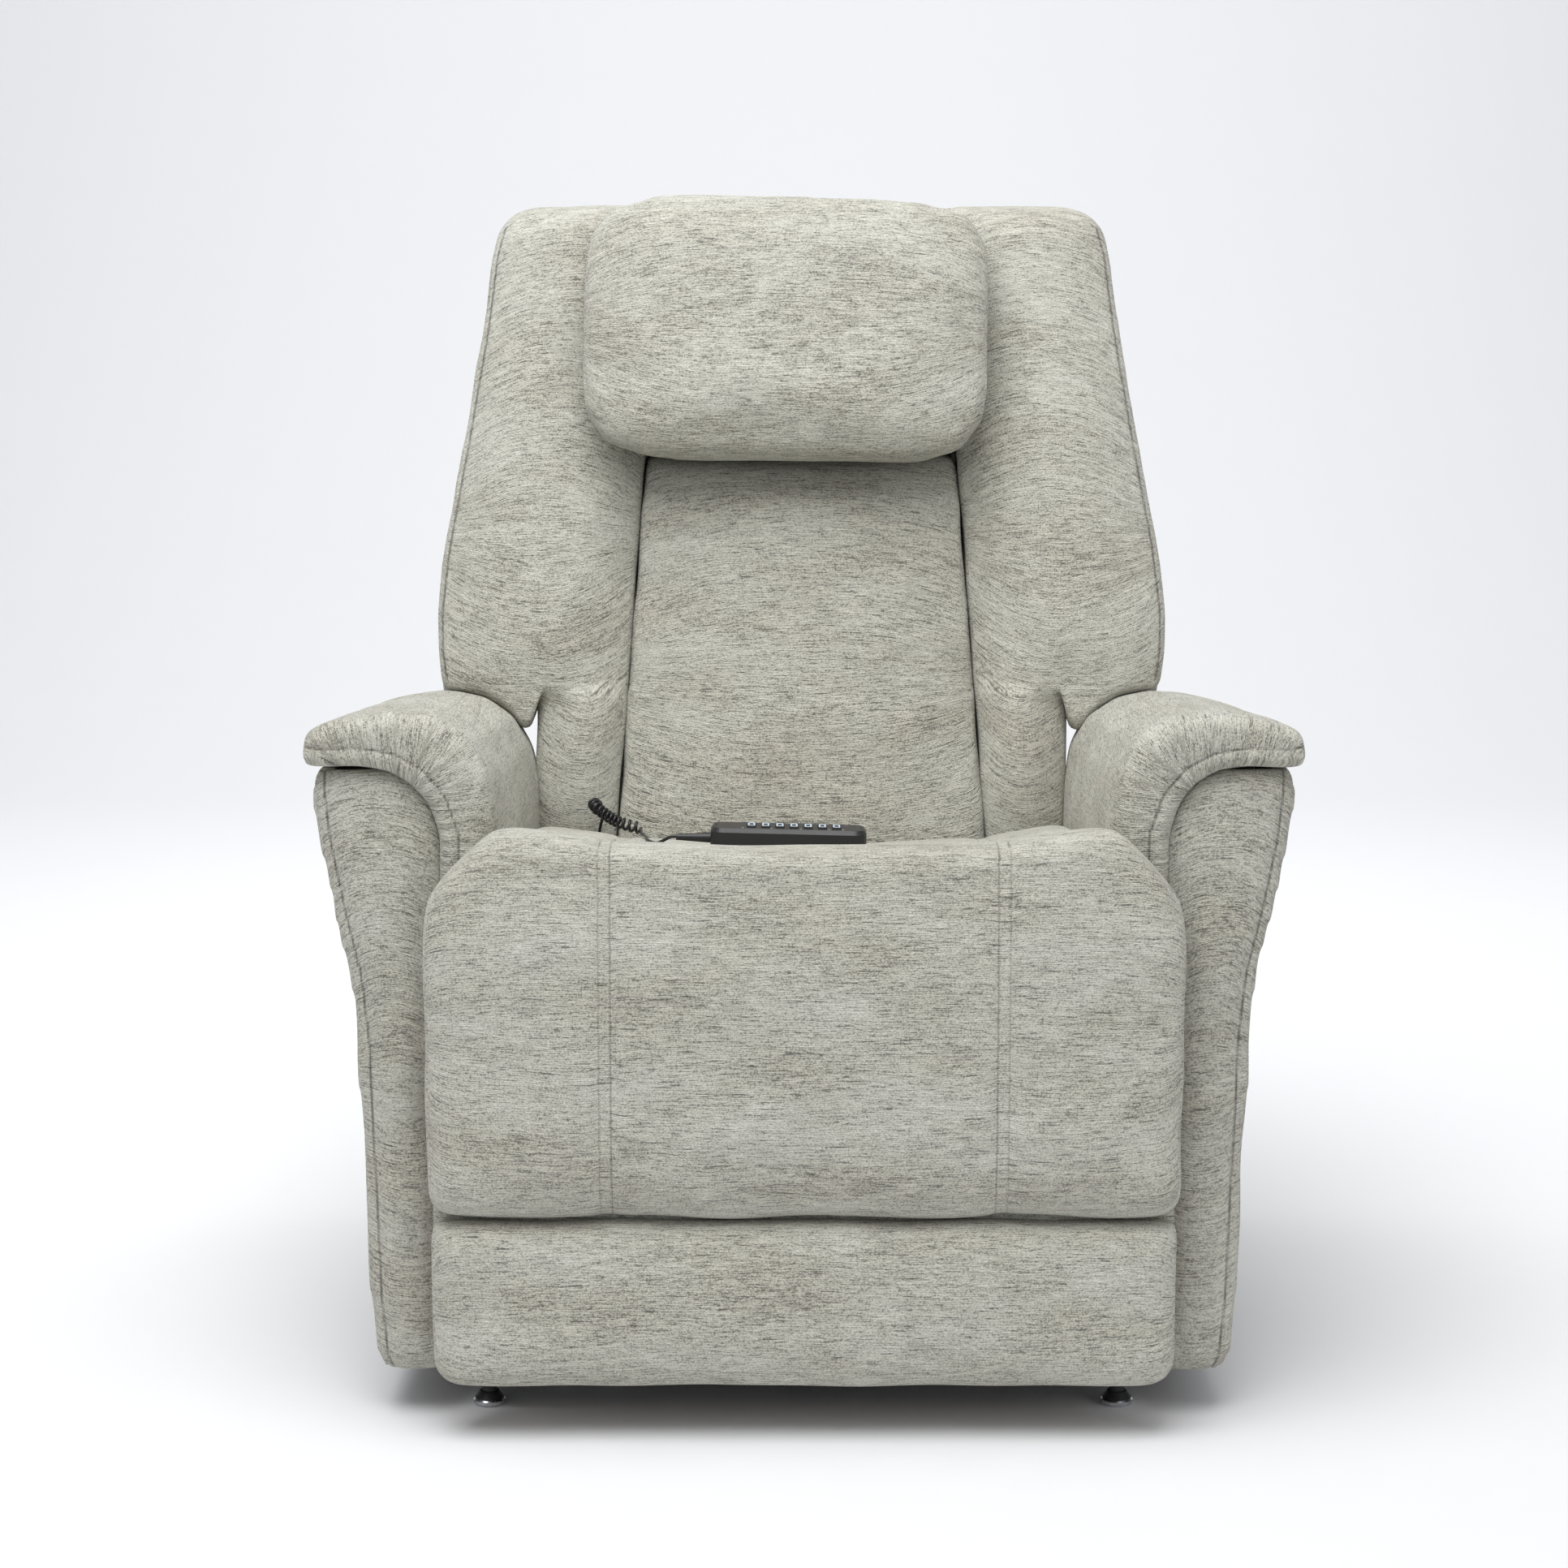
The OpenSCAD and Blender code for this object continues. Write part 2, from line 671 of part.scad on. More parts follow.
// Height at which the cushion lies on the springs
function spring_top(y) = spring_wire_r + gap + 0.1
  + lookup(y, [spring_line[0], spring_line[1]]);
spring_pitch = 2 * (rail_out - rail_t) / (seat_spring_count + 0.6);

module seat_springs() {
  color(zinc)
    for (i = [0:seat_spring_count - 1])
      sinuous(spring_line[0], spring_line[1], (i - (seat_spring_count - 1) / 2) * spring_pitch,
        20, 9);
}

// Height of the seat surface: a crest at the front, a level stretch, then a fall to the rear.
// Its middle lies lower than its sides, most of all at the rear
crest_drop = 29;
level_drop = 18;
function seat_line(y) =
  crest_z - crest_drop * smooth(ramp(y, -385, -300)) - level_drop * smooth(ramp(y, -310, -225))
    - (crest_z - crest_drop - level_drop - seat_rear_z) * pow(ramp(y, -190, seat_back_y), 1.3);
function seat_top(x, y) = seat_line(y)
  + seat_dish * (1 + 0.9 * ramp(y, -300, seat_back_y)) * pow(min(abs(x) / half, 1), 2);

cushion_half = half - gap - 0.5;
hinge_clear = 70;

// One side view ring of the seat cushion at a place x: over the top, then back underneath
function cushion_ring(x) =
  let (e = ramp(abs(x), cushion_half - 22, cushion_half))
  let (shy = 14 * (1 - sqrt(1 - e * e)))
  let (sew = channel_d * exp(-pow((abs(x) - channel_x) / 6, 2)))
  concat(
    [for (p = [[0, 0.5], [2, 0.8], [9, 0.97]])
      [x, front_y + p[0] + shy * 0.5,
        mix(knee_z + hinge_clear - 12, seat_top(x, -400), p[1]) - shy]],
    [for (y = [-415, -402, -390, -360, -325, -290, -255, -215, -170, -110, -50, 10, 60, 98])
      [x, y, seat_top(x, y) - shy - sew * 0.6]],
    [[x, seat_back_y - shy * 0.4, seat_top(x, seat_back_y) - 14 - shy]],
    [[x, seat_back_y - shy * 0.4, spring_top(seat_back_y) + 9]],
    [for (y = [seat_back_y - 12, 60, 10, -50, -110, -170, -215, -262])
      [x, y, spring_top(y) + shy * 0.3]],
    [for (a = [-8, 16, 40, 64, 88])
      [x, knee[0] + hinge_clear * cos(a), knee[1] + hinge_clear * sin(a)]],
    [[x, -412, knee[1] + hinge_clear - 8], [x, front_y + 6, knee[1] + hinge_clear - 11]]
  );

// One side view ring of the shoulder, sewn to the front roll, that stands before each arm
// front; the raised footrest passes below it
shoulder_y = arm_front_y - 3;
shoulder_x = half + 50;
function shoulder_ring(x) =
  let (e = ramp(x, shoulder_x - 12, shoulder_x), shy = 8 * (1 - sqrt(1 - e * e)))
  let (top = mix(seat_top(half, -400), knee[1] + 51, pow(ramp(x, half - 4, chaise_half), 1.15)))
  let (low = knee[1] + 57, rear = shoulder_y - shy, high = top - shy)
  concat(
    [for (p = [[3, 0], [0, 0.2], [0, 0.55], [3, 0.8], [12, 0.95], [28, 1]])
      [x, front_y + p[0] + shy, mix(low, high, p[1])]],
    [[x, rear - 8, high - 0.5], [x, rear, high - 4]],
    [for (t = [0, 0.15, 0.3, 0.45, 0.6, 0.75, 0.88, 1])
      [x, mix(rear, front_y + 6 + shy, t), low - 0.5 * sin(180 * t)]]);

module seat_cushion() {
  xs = [40, 110, channel_x - 10, channel_x, channel_x + 10, cushion_half - 22,
    cushion_half - 10, cushion_half - 3, cushion_half];
  color(cloth)
    loft([for (i = [8:-1:0]) cushion_ring(-xs[i]), for (x = xs) cushion_ring(x)]);
}

module chaise_shoulders() {
  color(cloth) pair() loft([for (x = [cushion_half + gap, half + 10, half + 24,
    shoulder_x - 12, shoulder_x - 5, shoulder_x - 1, shoulder_x]) shoulder_ring(x)]);
}

module footrest_brackets() {
  color(steel) for (s = [-1, 1]) for (x = [hinge_x - 7.5, hinge_x + 1.5])
    difference() {
      side_plate(s > 0 ? x : -x - plate_t, plate_t) {
        bar2d(knee, [rail_front_y - 9 - gap, rail_z + 34], 9);
        translate([rail_front_y - 17, rail_z + 4]) square([17 - gap, 44]);
      }
      rod_x(knee, s > 0 ? x - 1 : -x - plate_t - 1, plate_t + 2, pin_r + run_gap);
    }
}

hinge_x = 185;
recline_bracket_x = rail_out - rail_t - plate_t;
stile_plate_t = 6;
stile_x = recline_bracket_x - 2 - stile_plate_t - stile_w;

module recline_brackets() {
  color(steel) pair() {
    difference() {
      side_plate(recline_bracket_x, plate_t - gap) {
        bar2d(hip, [hip[0] - 30, rail_z + 45], 20);
        translate([hip[0] - 70, rail_z + 4]) square([64, rail_h - 30]);
      }
      rod_x(rear_bar, recline_bracket_x - 1, plate_t + 2, spring_bar_r + gap);
      rod_x(hip, recline_bracket_x - 1, plate_t + 2, bolt_r - 0.5);
    }
    rod_x(hip, recline_bracket_x - stile_plate_t - 7, stile_plate_t + plate_t + 6, bolt_r);
    rod_x(hip, recline_bracket_x - stile_plate_t - 7, 4, bolt_r + 4);
  }
}

// ---------- arms ----------
function arm_fall(y) = arm_drop * ramp(y, arm_front_y, arm_rear_y);
// Outer face of the arm below the pad, as [x, z] at the front
arm_face = [[arm_tip_x - 14, 612], [arm_tip_x - 9, 589], [arm_tip_x - 14, 540],
  [arm_tip_x - 27, 473], [arm_tip_x - 39, 421], [arm_tip_x - 46, 353], [arm_tip_x - 48, 269],
  [arm_tip_x - 51, 192], [arm_tip_x - 53, 115], [arm_tip_x - 58, arm_z + 18],
  [arm_tip_x - 64, arm_z]];
arm_in = half + arm_pad_t;
arm_frame_t = 16;
arm_body_y = arm_front_y + arm_front_t + 8;

module below_arm_pad(x0, x1, low) {
  side_plate(x0, x1 - x0) polygon([[arm_body_y, arm_z - 10], [arm_rear_y, arm_z - 10],
    [arm_rear_y, low - arm_fall(arm_rear_y)], [arm_body_y, low - arm_fall(arm_body_y)]]);
}

module arm_frame() {
  color(timber) difference() {
    union() {
      translate([half, rail_front_y, rail_z])
        cube([arm_pad_t + arm_frame_t, rail_rear_y - rail_front_y, 332 - gap - rail_z]);
      intersection() {
        translate([arm_in + gap, arm_body_y, 200])
          cube([arm_frame_t, arm_rear_y - arm_body_y, 500]);
        below_arm_pad(arm_in, arm_in + 40, 540);
      }
      for (y = [arm_body_y, arm_rear_y - 18])
        translate([arm_in + gap + arm_frame_t - 1, y, 205])
          cube([arm_face[7][0] - arm_panel_t - gap - arm_in - gap - arm_frame_t + 1, 18, 215]);
    }
    translate([arm_in - 1, -250, 350]) cube([arm_frame_t + 3, 140, 130]);
    translate([arm_in - 1, -60, 350]) cube([arm_frame_t + 3, 140, 110]);
  }
}

module arm_frame_right() { arm_frame(); }
module arm_frame_left() { mirror([1, 0, 0]) arm_frame(); }

module arm_outer() {
  color(cloth) intersection() {
    front_plate(arm_body_y, arm_rear_y - arm_body_y)
      polygon(concat(arm_face, [for (i = [len(arm_face) - 1:-1:0])
        [arm_face[i][0] - arm_panel_t, arm_face[i][1]]]));
    below_arm_pad(half, arm_tip_x, 610.6);
  }
}

module arm_outer_right() { arm_outer(); }
module arm_outer_left() { mirror([1, 0, 0]) arm_outer(); }

// Inner and outer line of the arm pad's section, both from the seat side over the top
// to the outer lip, as [x, z] at the front end
function pad_under(i) = [[arm_in, 332], [arm_in, 430], [arm_in, 505], [arm_in, 548],
  [arm_in + 10, 578], [arm_in + 26, 597], [arm_in + 46, 608], [arm_in + 72, 612],
  [arm_in + 92, 611.5], [arm_tip_x - 14, 611], [arm_tip_x - 9, 611.3], [arm_tip_x - 5, 613]][i];
function pad_over(i) = [[half, 332], [half, 430], [half, 505], [half + 1, 560],
  [half + 6, 604], [half + 22, arm_top_z - 26], [half + 52, arm_top_z - 6], [half + 88, arm_top_z],
  [half + 122, arm_top_z - 3], [arm_tip_x - 24, arm_top_z - 11], [arm_tip_x - 6, arm_top_z - 19],
  [arm_tip_x, arm_top_z - 33]][i];

// Ring of the arm pad at a place y; e draws its ends in
function arm_ring(y, e) =
  let (mid = [for (i = [0:11]) (pad_over(i) + pad_under(i)) / 2])
  concat(
    [for (i = [0:11]) let (p = mix(pad_over(i), mid[i], e))
      [p[0], y, p[1] - arm_fall(y) * ramp(p[1], 332, 600)]],
    [for (i = [11:-1:0]) let (p = mix(pad_under(i), mid[i], e * 0.6))
      [p[0], y, p[1] - arm_fall(y) * ramp(p[1], 332, 600)]]);

module arm_pad() {
  l = arm_rear_y - arm_front_y;
  color(cloth) loft([for (s = [[0, 0.42], [3, 0.2], [9, 0.06], [20, 0], [l * 0.2, 0], [l * 0.4, 0],
    [l * 0.6, 0], [l * 0.8, 0], [l - 14, 0], [l - 4, 0.08], [l, 0.3]])
      arm_ring(arm_front_y + s[0], s[1])], flip = true);
}

module arm_pad_right() { arm_pad(); }
module arm_pad_left() { mirror([1, 0, 0]) arm_pad(); }

// Padded front of the arm, as [inner x, outer x] at each height
function arm_front_in(z) = gap + lookup(z + 4, [for (i = [0:6]) [pad_under(i)[1], pad_under(i)[0]]]);
function arm_front_out(z) = lookup(-z, [for (p = arm_face) [-p[1], p[0]]]);

function front_ring(z, e) =
  let (a = arm_front_in(z) + 6 * e, b = arm_front_out(z) - 6 * e)
  let (y0 = arm_body_y - gap, d = (arm_front_t - 2) * (1 - 0.6 * e))
  let (w = b - a)
  concat([for (t = [0, 0.03, 0.14, 0.35, 0.65, 0.86, 0.97, 1])
      [a + w * t, y0 - d * (0.35 + 0.65 * pow(sin(180 * clamp(t, 0.02, 0.98)), 0.5)), z]],
    [for (t = [1, 0.97, 0.86, 0.65, 0.35, 0.14, 0.03, 0]) [a + w * t, y0, z]]);

module arm_front() {
  color(cloth) loft([for (s = [[arm_z, 1], [arm_z + 3, 0.5], [arm_z + 18, 0.1], [115, 0], [192, 0],
    [269, 0], [353, 0], [421, 0], [473, 0], [540, 0], [572, 0], [592, 0.1], [603, 0.7]])
      front_ring(s[0], s[1])], flip = true);
}

module arm_front_right() { arm_front(); }
module arm_front_left() { mirror([1, 0, 0]) arm_front(); }

// Rear panel behind the lift arms, with a cut-out for the lead at its lower edge. Its ends
// stand on the rear edges of the arm frames
skirt_z = 72;
skirt_top = 280;
skirt_t = 14;
skirt_y = lift_seat_y + lift_arm_r + 1.5;
module rear_skirt() {
  color(cloth) {
    front_plate(skirt_y, skirt_t) difference() {
      translate([-arm_in - arm_frame_t, skirt_z]) square([2 * (arm_in + arm_frame_t), skirt_top - skirt_z]);
      polygon([[-150, skirt_z - 1], [150, skirt_z - 1], [120, skirt_z + 26], [-120, skirt_z + 26]]);
    }
    pair() translate([arm_in - 40, arm_rear_y + gap, skirt_z])
      cube([40 + arm_frame_t, skirt_y - arm_rear_y - gap + 1, skirt_top - skirt_z]);
  }
}

// Hangs under the left flange of the carriage, by the flange of its lid
box_size = [58, 110, 26];
module control_box() {
  color(black) translate([-plate_x + gap, -160, rail_z - 5 - 2 * gap - box_size[2]]) difference() {
    union() {
      linear_extrude(box_size[2]) rounded2d([box_size[0], box_size[1]], 6);
      translate([4, -8, box_size[2] - 4]) cube([22, box_size[1] + 16, 4]);
    }
    for (i = [0:3])
      translate([7 + i * 12, -2, 6]) cube([8, 8, 8]);
  }
}

// ---------- handset ----------
handset_at = [-14, -200];
handset_tilt = -2;
handset_roll = 1.4;
handset_z = 504.6;
face_t = 2;
relief_l = 34;
relief_z = handset_t / 2 - 1;

module on_handset() {
  translate([handset_at[0], handset_at[1], handset_z])
    rotate([handset_tilt, handset_roll, 0]) children();
}

// Where a point of the handset lies once it is laid on the seat
function handset_point(p) =
  let (a = handset_roll, b = handset_tilt)
  let (q = [p[0] * cos(a) + p[2] * sin(a), p[1], p[2] * cos(a) - p[0] * sin(a)])
  [handset_at[0] + q[0], handset_at[1] + q[1] * cos(b) - q[2] * sin(b),
    handset_z + q[1] * sin(b) + q[2] * cos(b)];

module handset_outline(shrink) {
  hull() for (x = [-1, 1]) for (y = [-1, 1])
    translate([x * (handset_l / 2 - 12), y * (handset_w / 2 - 12)]) circle(12 - shrink, $fn = 32);
}

key_x0 = 5;
function key_x(i) = key_x0 + (i - 3) * key_pitch;

module handset_shell() {
  color(black) on_handset() difference() {
    union() {
      hull() {
        linear_extrude(1) handset_outline(4);
        translate([0, 0, 5]) linear_extrude(handset_t - 9) handset_outline(0);
        translate([0, 0, handset_t - 3]) linear_extrude(3) handset_outline(2.5);
      }
      translate([-handset_l / 2 + 1, 0, relief_z]) rotate([0, -90, 0])
        cylinder(r1 = 5, r2 = 3, h = relief_l);
    }
    translate([0, 0, handset_t - face_t]) linear_extrude(face_t + 1) handset_outline(5);
    translate([key_x(0) - key_l / 2 - 3, -key_w / 2 - 3, handset_t - face_t - key_well])
      cube([6 * key_pitch + key_l + 6, key_w + 6, 10]);
    translate([-handset_l / 2 - relief_l, 0, relief_z]) rotate([0, 90, 0])
      cylinder(r = cord_d / 2 + gap, h = 16);
  }
}

module handset_face() {
  color("#26262a") on_handset() difference() {
    translate([0, 0, handset_t - face_t + 0.1]) linear_extrude(face_t - 0.1)
      handset_outline(5 + gap);
    for (i = [0:6])
      translate([key_x(i) - key_l / 2 - 0.4, -key_w / 2 - 0.4, handset_t - face_t - 1])
        cube([key_l + 0.8, key_w + 0.8, face_t + 4]);
  }
}

key_pivot_z = handset_t - face_t - 2.5;
key_well = 6;
key_foot_z = handset_t - face_t - key_well + gap;

// A rocker key: raised at both ends, hollow in the middle, its fulcrum below
module key(i) {
  color("#2c2d31") on_handset() translate([key_x(i) - key_l / 2, 0, 0]) side_plate(0, key_l)
    polygon([[-key_w / 2, handset_t - face_t - 1], [-key_w / 2, handset_t + 0.9],
      [-key_w / 2 + 2, handset_t + 1.5], [-3, handset_t + 0.9], [0, handset_t + 0.7],
      [3, handset_t + 0.9], [key_w / 2 - 2, handset_t + 1.5], [key_w / 2, handset_t + 0.9],
      [key_w / 2, handset_t - face_t - 1], [3, handset_t - face_t - 1.4],
      [1, key_foot_z], [-1, key_foot_z], [-3, handset_t - face_t - 1.4]]);
}

module key_1() { key(0); }
module key_2() { key(1); }
module key_3() { key(2); }
module key_4() { key(3); }
module key_5() { key(4); }
module key_6() { key(5); }
module key_7() { key(6); }

// ---------- cords ----------
// Route of the plain cord from the handset to the curls, as [x, y, height over the seat]
relief_x = -handset_l / 2 - relief_l;
cord_over_seat = [[-138, -196, 5], [-146, -180, 3.4], [-150, -155, 3.2], [-152, -120, 3.2],
  [-155, -85, 3.2], [-158, -50, 3.2], [-160, -15, 3.2], [-162, 15, 3.2], [-163, 36, 4.5]];
cord_route = concat([for (x = [12, 5, -3]) handset_point([relief_x + x, 0, relief_z])],
  [for (p = cord_over_seat) [p[0], p[1], seat_top(p[0], p[1]) + p[2]]], [[-164.5, 50, 480]]);
// Route of the axis of the curls, ending in the gap between seat and back
curl_route = [[-166, 60, 482], [-176, 63, 484], [-185.5, 66.5, 486], [-192, 69.5, 488.5],
  [-198, 73, 491.5], [-204, 77, 495], [-210, 83, 498.5], [-214, 91, 501], [-214, 100, 500.5],
  [-211.5, 108, 496], [-210, 112, 488]];
curls = 16;
curl_rings = 8;

function sub(p, i) = p[clamp(i, 0, len(p) - 1)];
// A smooth curve through hand-placed points, t from 0 to their count less one
function spline(p, t) =
  let (i = clamp(floor(t), 0, len(p) - 2), u = t - i)
  let (a = sub(p, i - 1), b = sub(p, i), c = sub(p, i + 1), d = sub(p, i + 2))
  0.5 * (2 * b + (c - a) * u + (2 * a - 5 * b + 4 * c - d) * u * u
    + (3 * b - a - 3 * c + d) * u * u * u);
function unit(v) = v / max(norm(v), 0.0001);
// Rings of a tube of sides n and radius r along a line of points
function tube_rings(line, r, n) = [for (i = [0:len(line) - 1])
  let (d = unit(sub(line, i + 1) - sub(line, i - 1)))
  let (u = unit(cross(d, abs(d[2]) > 0.9 ? [0, 1, 0] : [0, 0, 1])))
  let (v = cross(d, u))
  [for (k = [0:n - 1]) line[i] + r * (cos(360 * k / n) * u + sin(360 * k / n) * v)]];

module tube(line, r, n) {
  rings = tube_rings(line, r, n);
  m = len(rings);
  sides = [for (j = [0:m - 2]) for (i = [0:n - 1]) let (k = (i + 1) % n)
    each [[j * n + i, (j + 1) * n + k, j * n + k], [j * n + i, (j + 1) * n + i, (j + 1) * n + k]]];
  ends = concat([for (i = [1:n - 2]) [0, i, i + 1]],
    [for (i = [1:n - 2]) [(m - 1) * n, (m - 1) * n + i + 1, (m - 1) * n + i]]);
  polyhedron([for (r = rings) each r], concat(sides, ends), convexity = 10);
}

cord_line = [for (i = [0:4 * (len(cord_route) - 1)]) spline(cord_route, i / 4)];
curl_axis_span = len(curl_route) - 1;
// A point of the helix: turns around the axis, the first and last turn grow from its middle
function curl_point(t) =
  let (s = curl_axis_span * t / curls, p = spline(curl_route, s))
  let (d = unit(spline(curl_route, s + 0.05) - spline(curl_route, s - 0.05)))
  let (u = unit(cross(d, [0.2, 0.1, 1])), v = cross(d, u))
  p + curl_r * (cos(360 * t) * u + sin(360 * t) * v);
curl_in = cord_line[len(cord_line) - 1] + [-0.05, gap, 0];
curl_tail = [-210, seat_back_y + 4.5, 470];
curl_line = concat([curl_in, curl_in + [0, cord_d, 0]],
  [for (i = [0:curls * curl_rings]) curl_point(i / curl_rings)],
  [mix(curl_point(curls), curl_tail, 0.5), curl_tail, curl_tail - [0, 0, 4],
    curl_tail - [0, 0, 16]]);

// Least gap of the curled tube to itself, from points further apart than half a turn
curl_least = min([for (i = [0:len(curl_line) - 1]) for (j = [i + 5:1:len(curl_line) - 1])
  norm(curl_line[i] - curl_line[j])]) - cord_d;
echo(least_gap_of_curls = curl_least);

module handset_cord() { color(black) tube(cord_line, cord_d / 2, 8); }
module handset_curly_cord() { color(black) tube(curl_line, cord_d / 2, 6); }

// ---------- back ----------
lean = tan(back_lean);
function back_face(z) = back_y + (z - 465) * lean;
function back_rear(z) = 360 + (z - 420) * 0.1212;
// Heights of the back's upper sections, kept below its top edge
back_waist_z = back_top_z - 132;
back_neck_z = back_top_z - 52;
// Half width of the back at a height
function wing(z) = z < wing_z - 6 ? half - 6 : lookup(z, [[wing_z - 6, wing_half - 12],
  [wing_z, wing_half - 6], [650, wing_half - 1], [690, wing_half], [760, wing_half - 8],
  [860, wing_half - 26], [back_waist_z, wing_half - 46], [back_neck_z, wing_half - 56],
  [back_top_z - 24, wing_half - 63], [back_top_z - 8, wing_half - 78], [back_top_z, wing_half - 100]]);
function seam_x(z) = 164 + (860 - clamp(z, 380, back_top_z - 112)) * 0.0722;
back_foot_z = 396;
bolster_foot_z = 424;
// Front of a pad at a height: it keeps off the seat below the line where it meets the seat
function pad_face(z) = max(back_face(z), seat_back_y + 2);
function pad_back(z) = back_face(z) + back_pad_t;
function pad_bulge(z, b) = b * ramp(z, 470, 560);
// Middle line of the stiles, whose front faces carry the pads
function stile_y(z) = pad_back(z) + gap + stile_d / 2 / cos(back_lean);
// Places children at a height on that line, leaning with it
module at_stile(z) {
  translate([0, stile_y(z), z]) rotate([-back_lean, 0, 0]) children();
}

// Ring of a back cushion between x0 and x1 at height z: front line, then rear line
function pad_ring(z, x0, x1, yf, yr, bulge, e) =
  let (w = x1 - x0)
  concat([for (t = [0, 0.04, 0.14, 0.3, 0.5, 0.7, 0.86, 0.96, 1])
      let (u = sin(180 * clamp(t, 0.015, 0.985)))
      [x0 + w * t, mix(yf - bulge * u + 17 * (1 - pow(u, 0.4)), (yf + yr) / 2, e), z]],
    [for (t = [1, 0.96, 0.86, 0.7, 0.5, 0.3, 0.14, 0.04, 0]) [x0 + w * t, yr - e * 6, z]]);

module back_cushion() {
  color(cloth) loft([for (s = [[back_foot_z, 0.6], [back_foot_z + 8, 0.2], [430, 0], [500, 0],
    [580, 0], [660, 0], [740, 0], [810, 0], [842, 0.25], [850, 0.7]])
      pad_ring(s[0], -seam_x(s[0]) + gap, seam_x(s[0]) - gap, pad_face(s[0]), pad_back(s[0]),
        pad_bulge(s[0], 7), s[1])], flip = true);
}

module back_top_cushion() {
  color(cloth) loft([for (s = [[882, 0.6], [892, 0.15],
    for (f = [0.14, 0.5, 0.85]) [mix(892, back_top_z - 22, f), 0],
    [back_top_z - 22, 0.05], [back_top_z - 8, 0.25], [back_top_z, 0.7]])
      pad_ring(s[0], -seam_x(s[0]) + gap, seam_x(s[0]) - gap, pad_face(s[0]), pad_back(s[0]),
        4, s[1])], flip = true);
}

module bolster_right() {
  color(cloth) loft([for (s = [[bolster_foot_z, 0.6], [bolster_foot_z + 8, 0.2], [490, 0],
    [550, 0], [wing_z - 8, 0], [wing_z - 5, 0.06], [wing_z, 0], [650, 0], [690, 0], [760, 0],
    [860, 0], [back_waist_z, 0], [back_neck_z, 0], [back_top_z - 24, 0.05],
    [back_top_z - 8, 0.25], [back_top_z, 0.7]])
      pad_ring(s[0], seam_x(s[0]) + gap, wing(s[0]), pad_face(s[0]), pad_back(s[0]),
        pad_bulge(s[0], bolster_bulge), s[1])], flip = true);
}

module bolster_left() { mirror([1, 0, 0]) bolster_right(); }

cover_out = 3;
function cover_ring(z, e) =
  let (w = wing(z) - cover_out, yf = pad_back(z) + gap, yr = back_rear(z) - e)
  let (r = 26, c = cover_t)
  concat([[-w, yf, z], [-w, yr - r, z], [-w + r * 0.3, yr - r * 0.3, z], [-w + r, yr, z],
      [-w / 3, yr + 2, z], [w / 3, yr + 2, z],
      [w - r, yr, z], [w - r * 0.3, yr - r * 0.3, z], [w, yr - r, z], [w, yf, z]],
    [[w - c, yf, z], [w - c, yr - r, z], [w - c - r * 0.2, yr - c - r * 0.2, z],
      [w - r, yr - c, z], [w / 3, yr - c + 2, z], [-w / 3, yr - c + 2, z],
      [-w + r, yr - c, z], [-w + c + r * 0.2, yr - c - r * 0.2, z], [-w + c, yr - r, z],
      [-w + c, yf, z]]);

module back_cover() {
  color(cloth) {
    loft([for (z = [back_foot_z - 4, 500, wing_z - 8, wing_z - 5, 690, 860, back_waist_z,
      back_neck_z, back_top_z - 26]) cover_ring(z, 0)]);
    loft([for (s = [[back_top_z - 26, 0], [back_top_z - 14, 2], [back_top_z - 2, 12]])
      let (w = wing(s[0]) - cover_out, yf = pad_back(s[0]) + gap, yr = back_rear(s[0]) - s[1])
        [[-w, yf, s[0]], [-w, yr - 26, s[0]], [-w + 26, yr, s[0]], [w - 26, yr, s[0]],
          [w, yr - 26, s[0]], [w, yf, s[0]]]]);
  }
}

stile_low_z = 428;
stile_l = (back_top_z - 40 - stile_low_z) / cos(back_lean);
rail_zs = [442, 640, head_hinge[1] + 4, back_top_z - 54];
back_wire = spring_wire_r + gap;
rail_front = -stile_d / 2 + 2 * back_wire;

module back_frame() {
  color(steel) {
    pair() {
      at_stile(stile_low_z) translate([stile_x, -stile_d / 2, 0]) cube([stile_w, stile_d, stile_l]);
      difference() {
        side_plate(stile_x + stile_w - 1, stile_plate_t + 1) {
          translate(hip) circle(20);
          bar2d(hip, hip_step, 13);
          bar2d(hip_step, [stile_y(480), 480], 13);
        }
        rod_x(hip, stile_x + stile_w - 2, stile_plate_t + 3, bolt_r + run_gap);
      }
    }
    for (z = rail_zs)
      at_stile(z) translate([-stile_x - 1, rail_front, -12]) cube([2 * stile_x + 2, 20, 24]);
    difference() {
      side_plate(recline_motor_x - lug_t / 2, lug_t)
        bar2d([stile_y(rail_zs[0]), rail_zs[0]], recline_pin, 12);
      rod_x(recline_pin, recline_motor_x - lug_t, 2 * lug_t, pin_r - 0.5);
    }
    rod_x(recline_pin, recline_motor_x - 15, 30, pin_r);
  }
}

// Where the hip plate turns up behind the foot of the bolster
hip_step = [pad_back(bolster_foot_z) + gap + 13, hip[1] + 10];

function back_spring_end(z) = [stile_y(z) + (rail_front - back_wire) / cos(back_lean), z];
module back_springs() {
  color(zinc) for (x = [-130, 0, 130])
    sinuous(back_spring_end(rail_zs[0]), back_spring_end(rail_zs[3]), x, 20, 13);
}

head_ear_x = 70;
head_ear_t = 5;

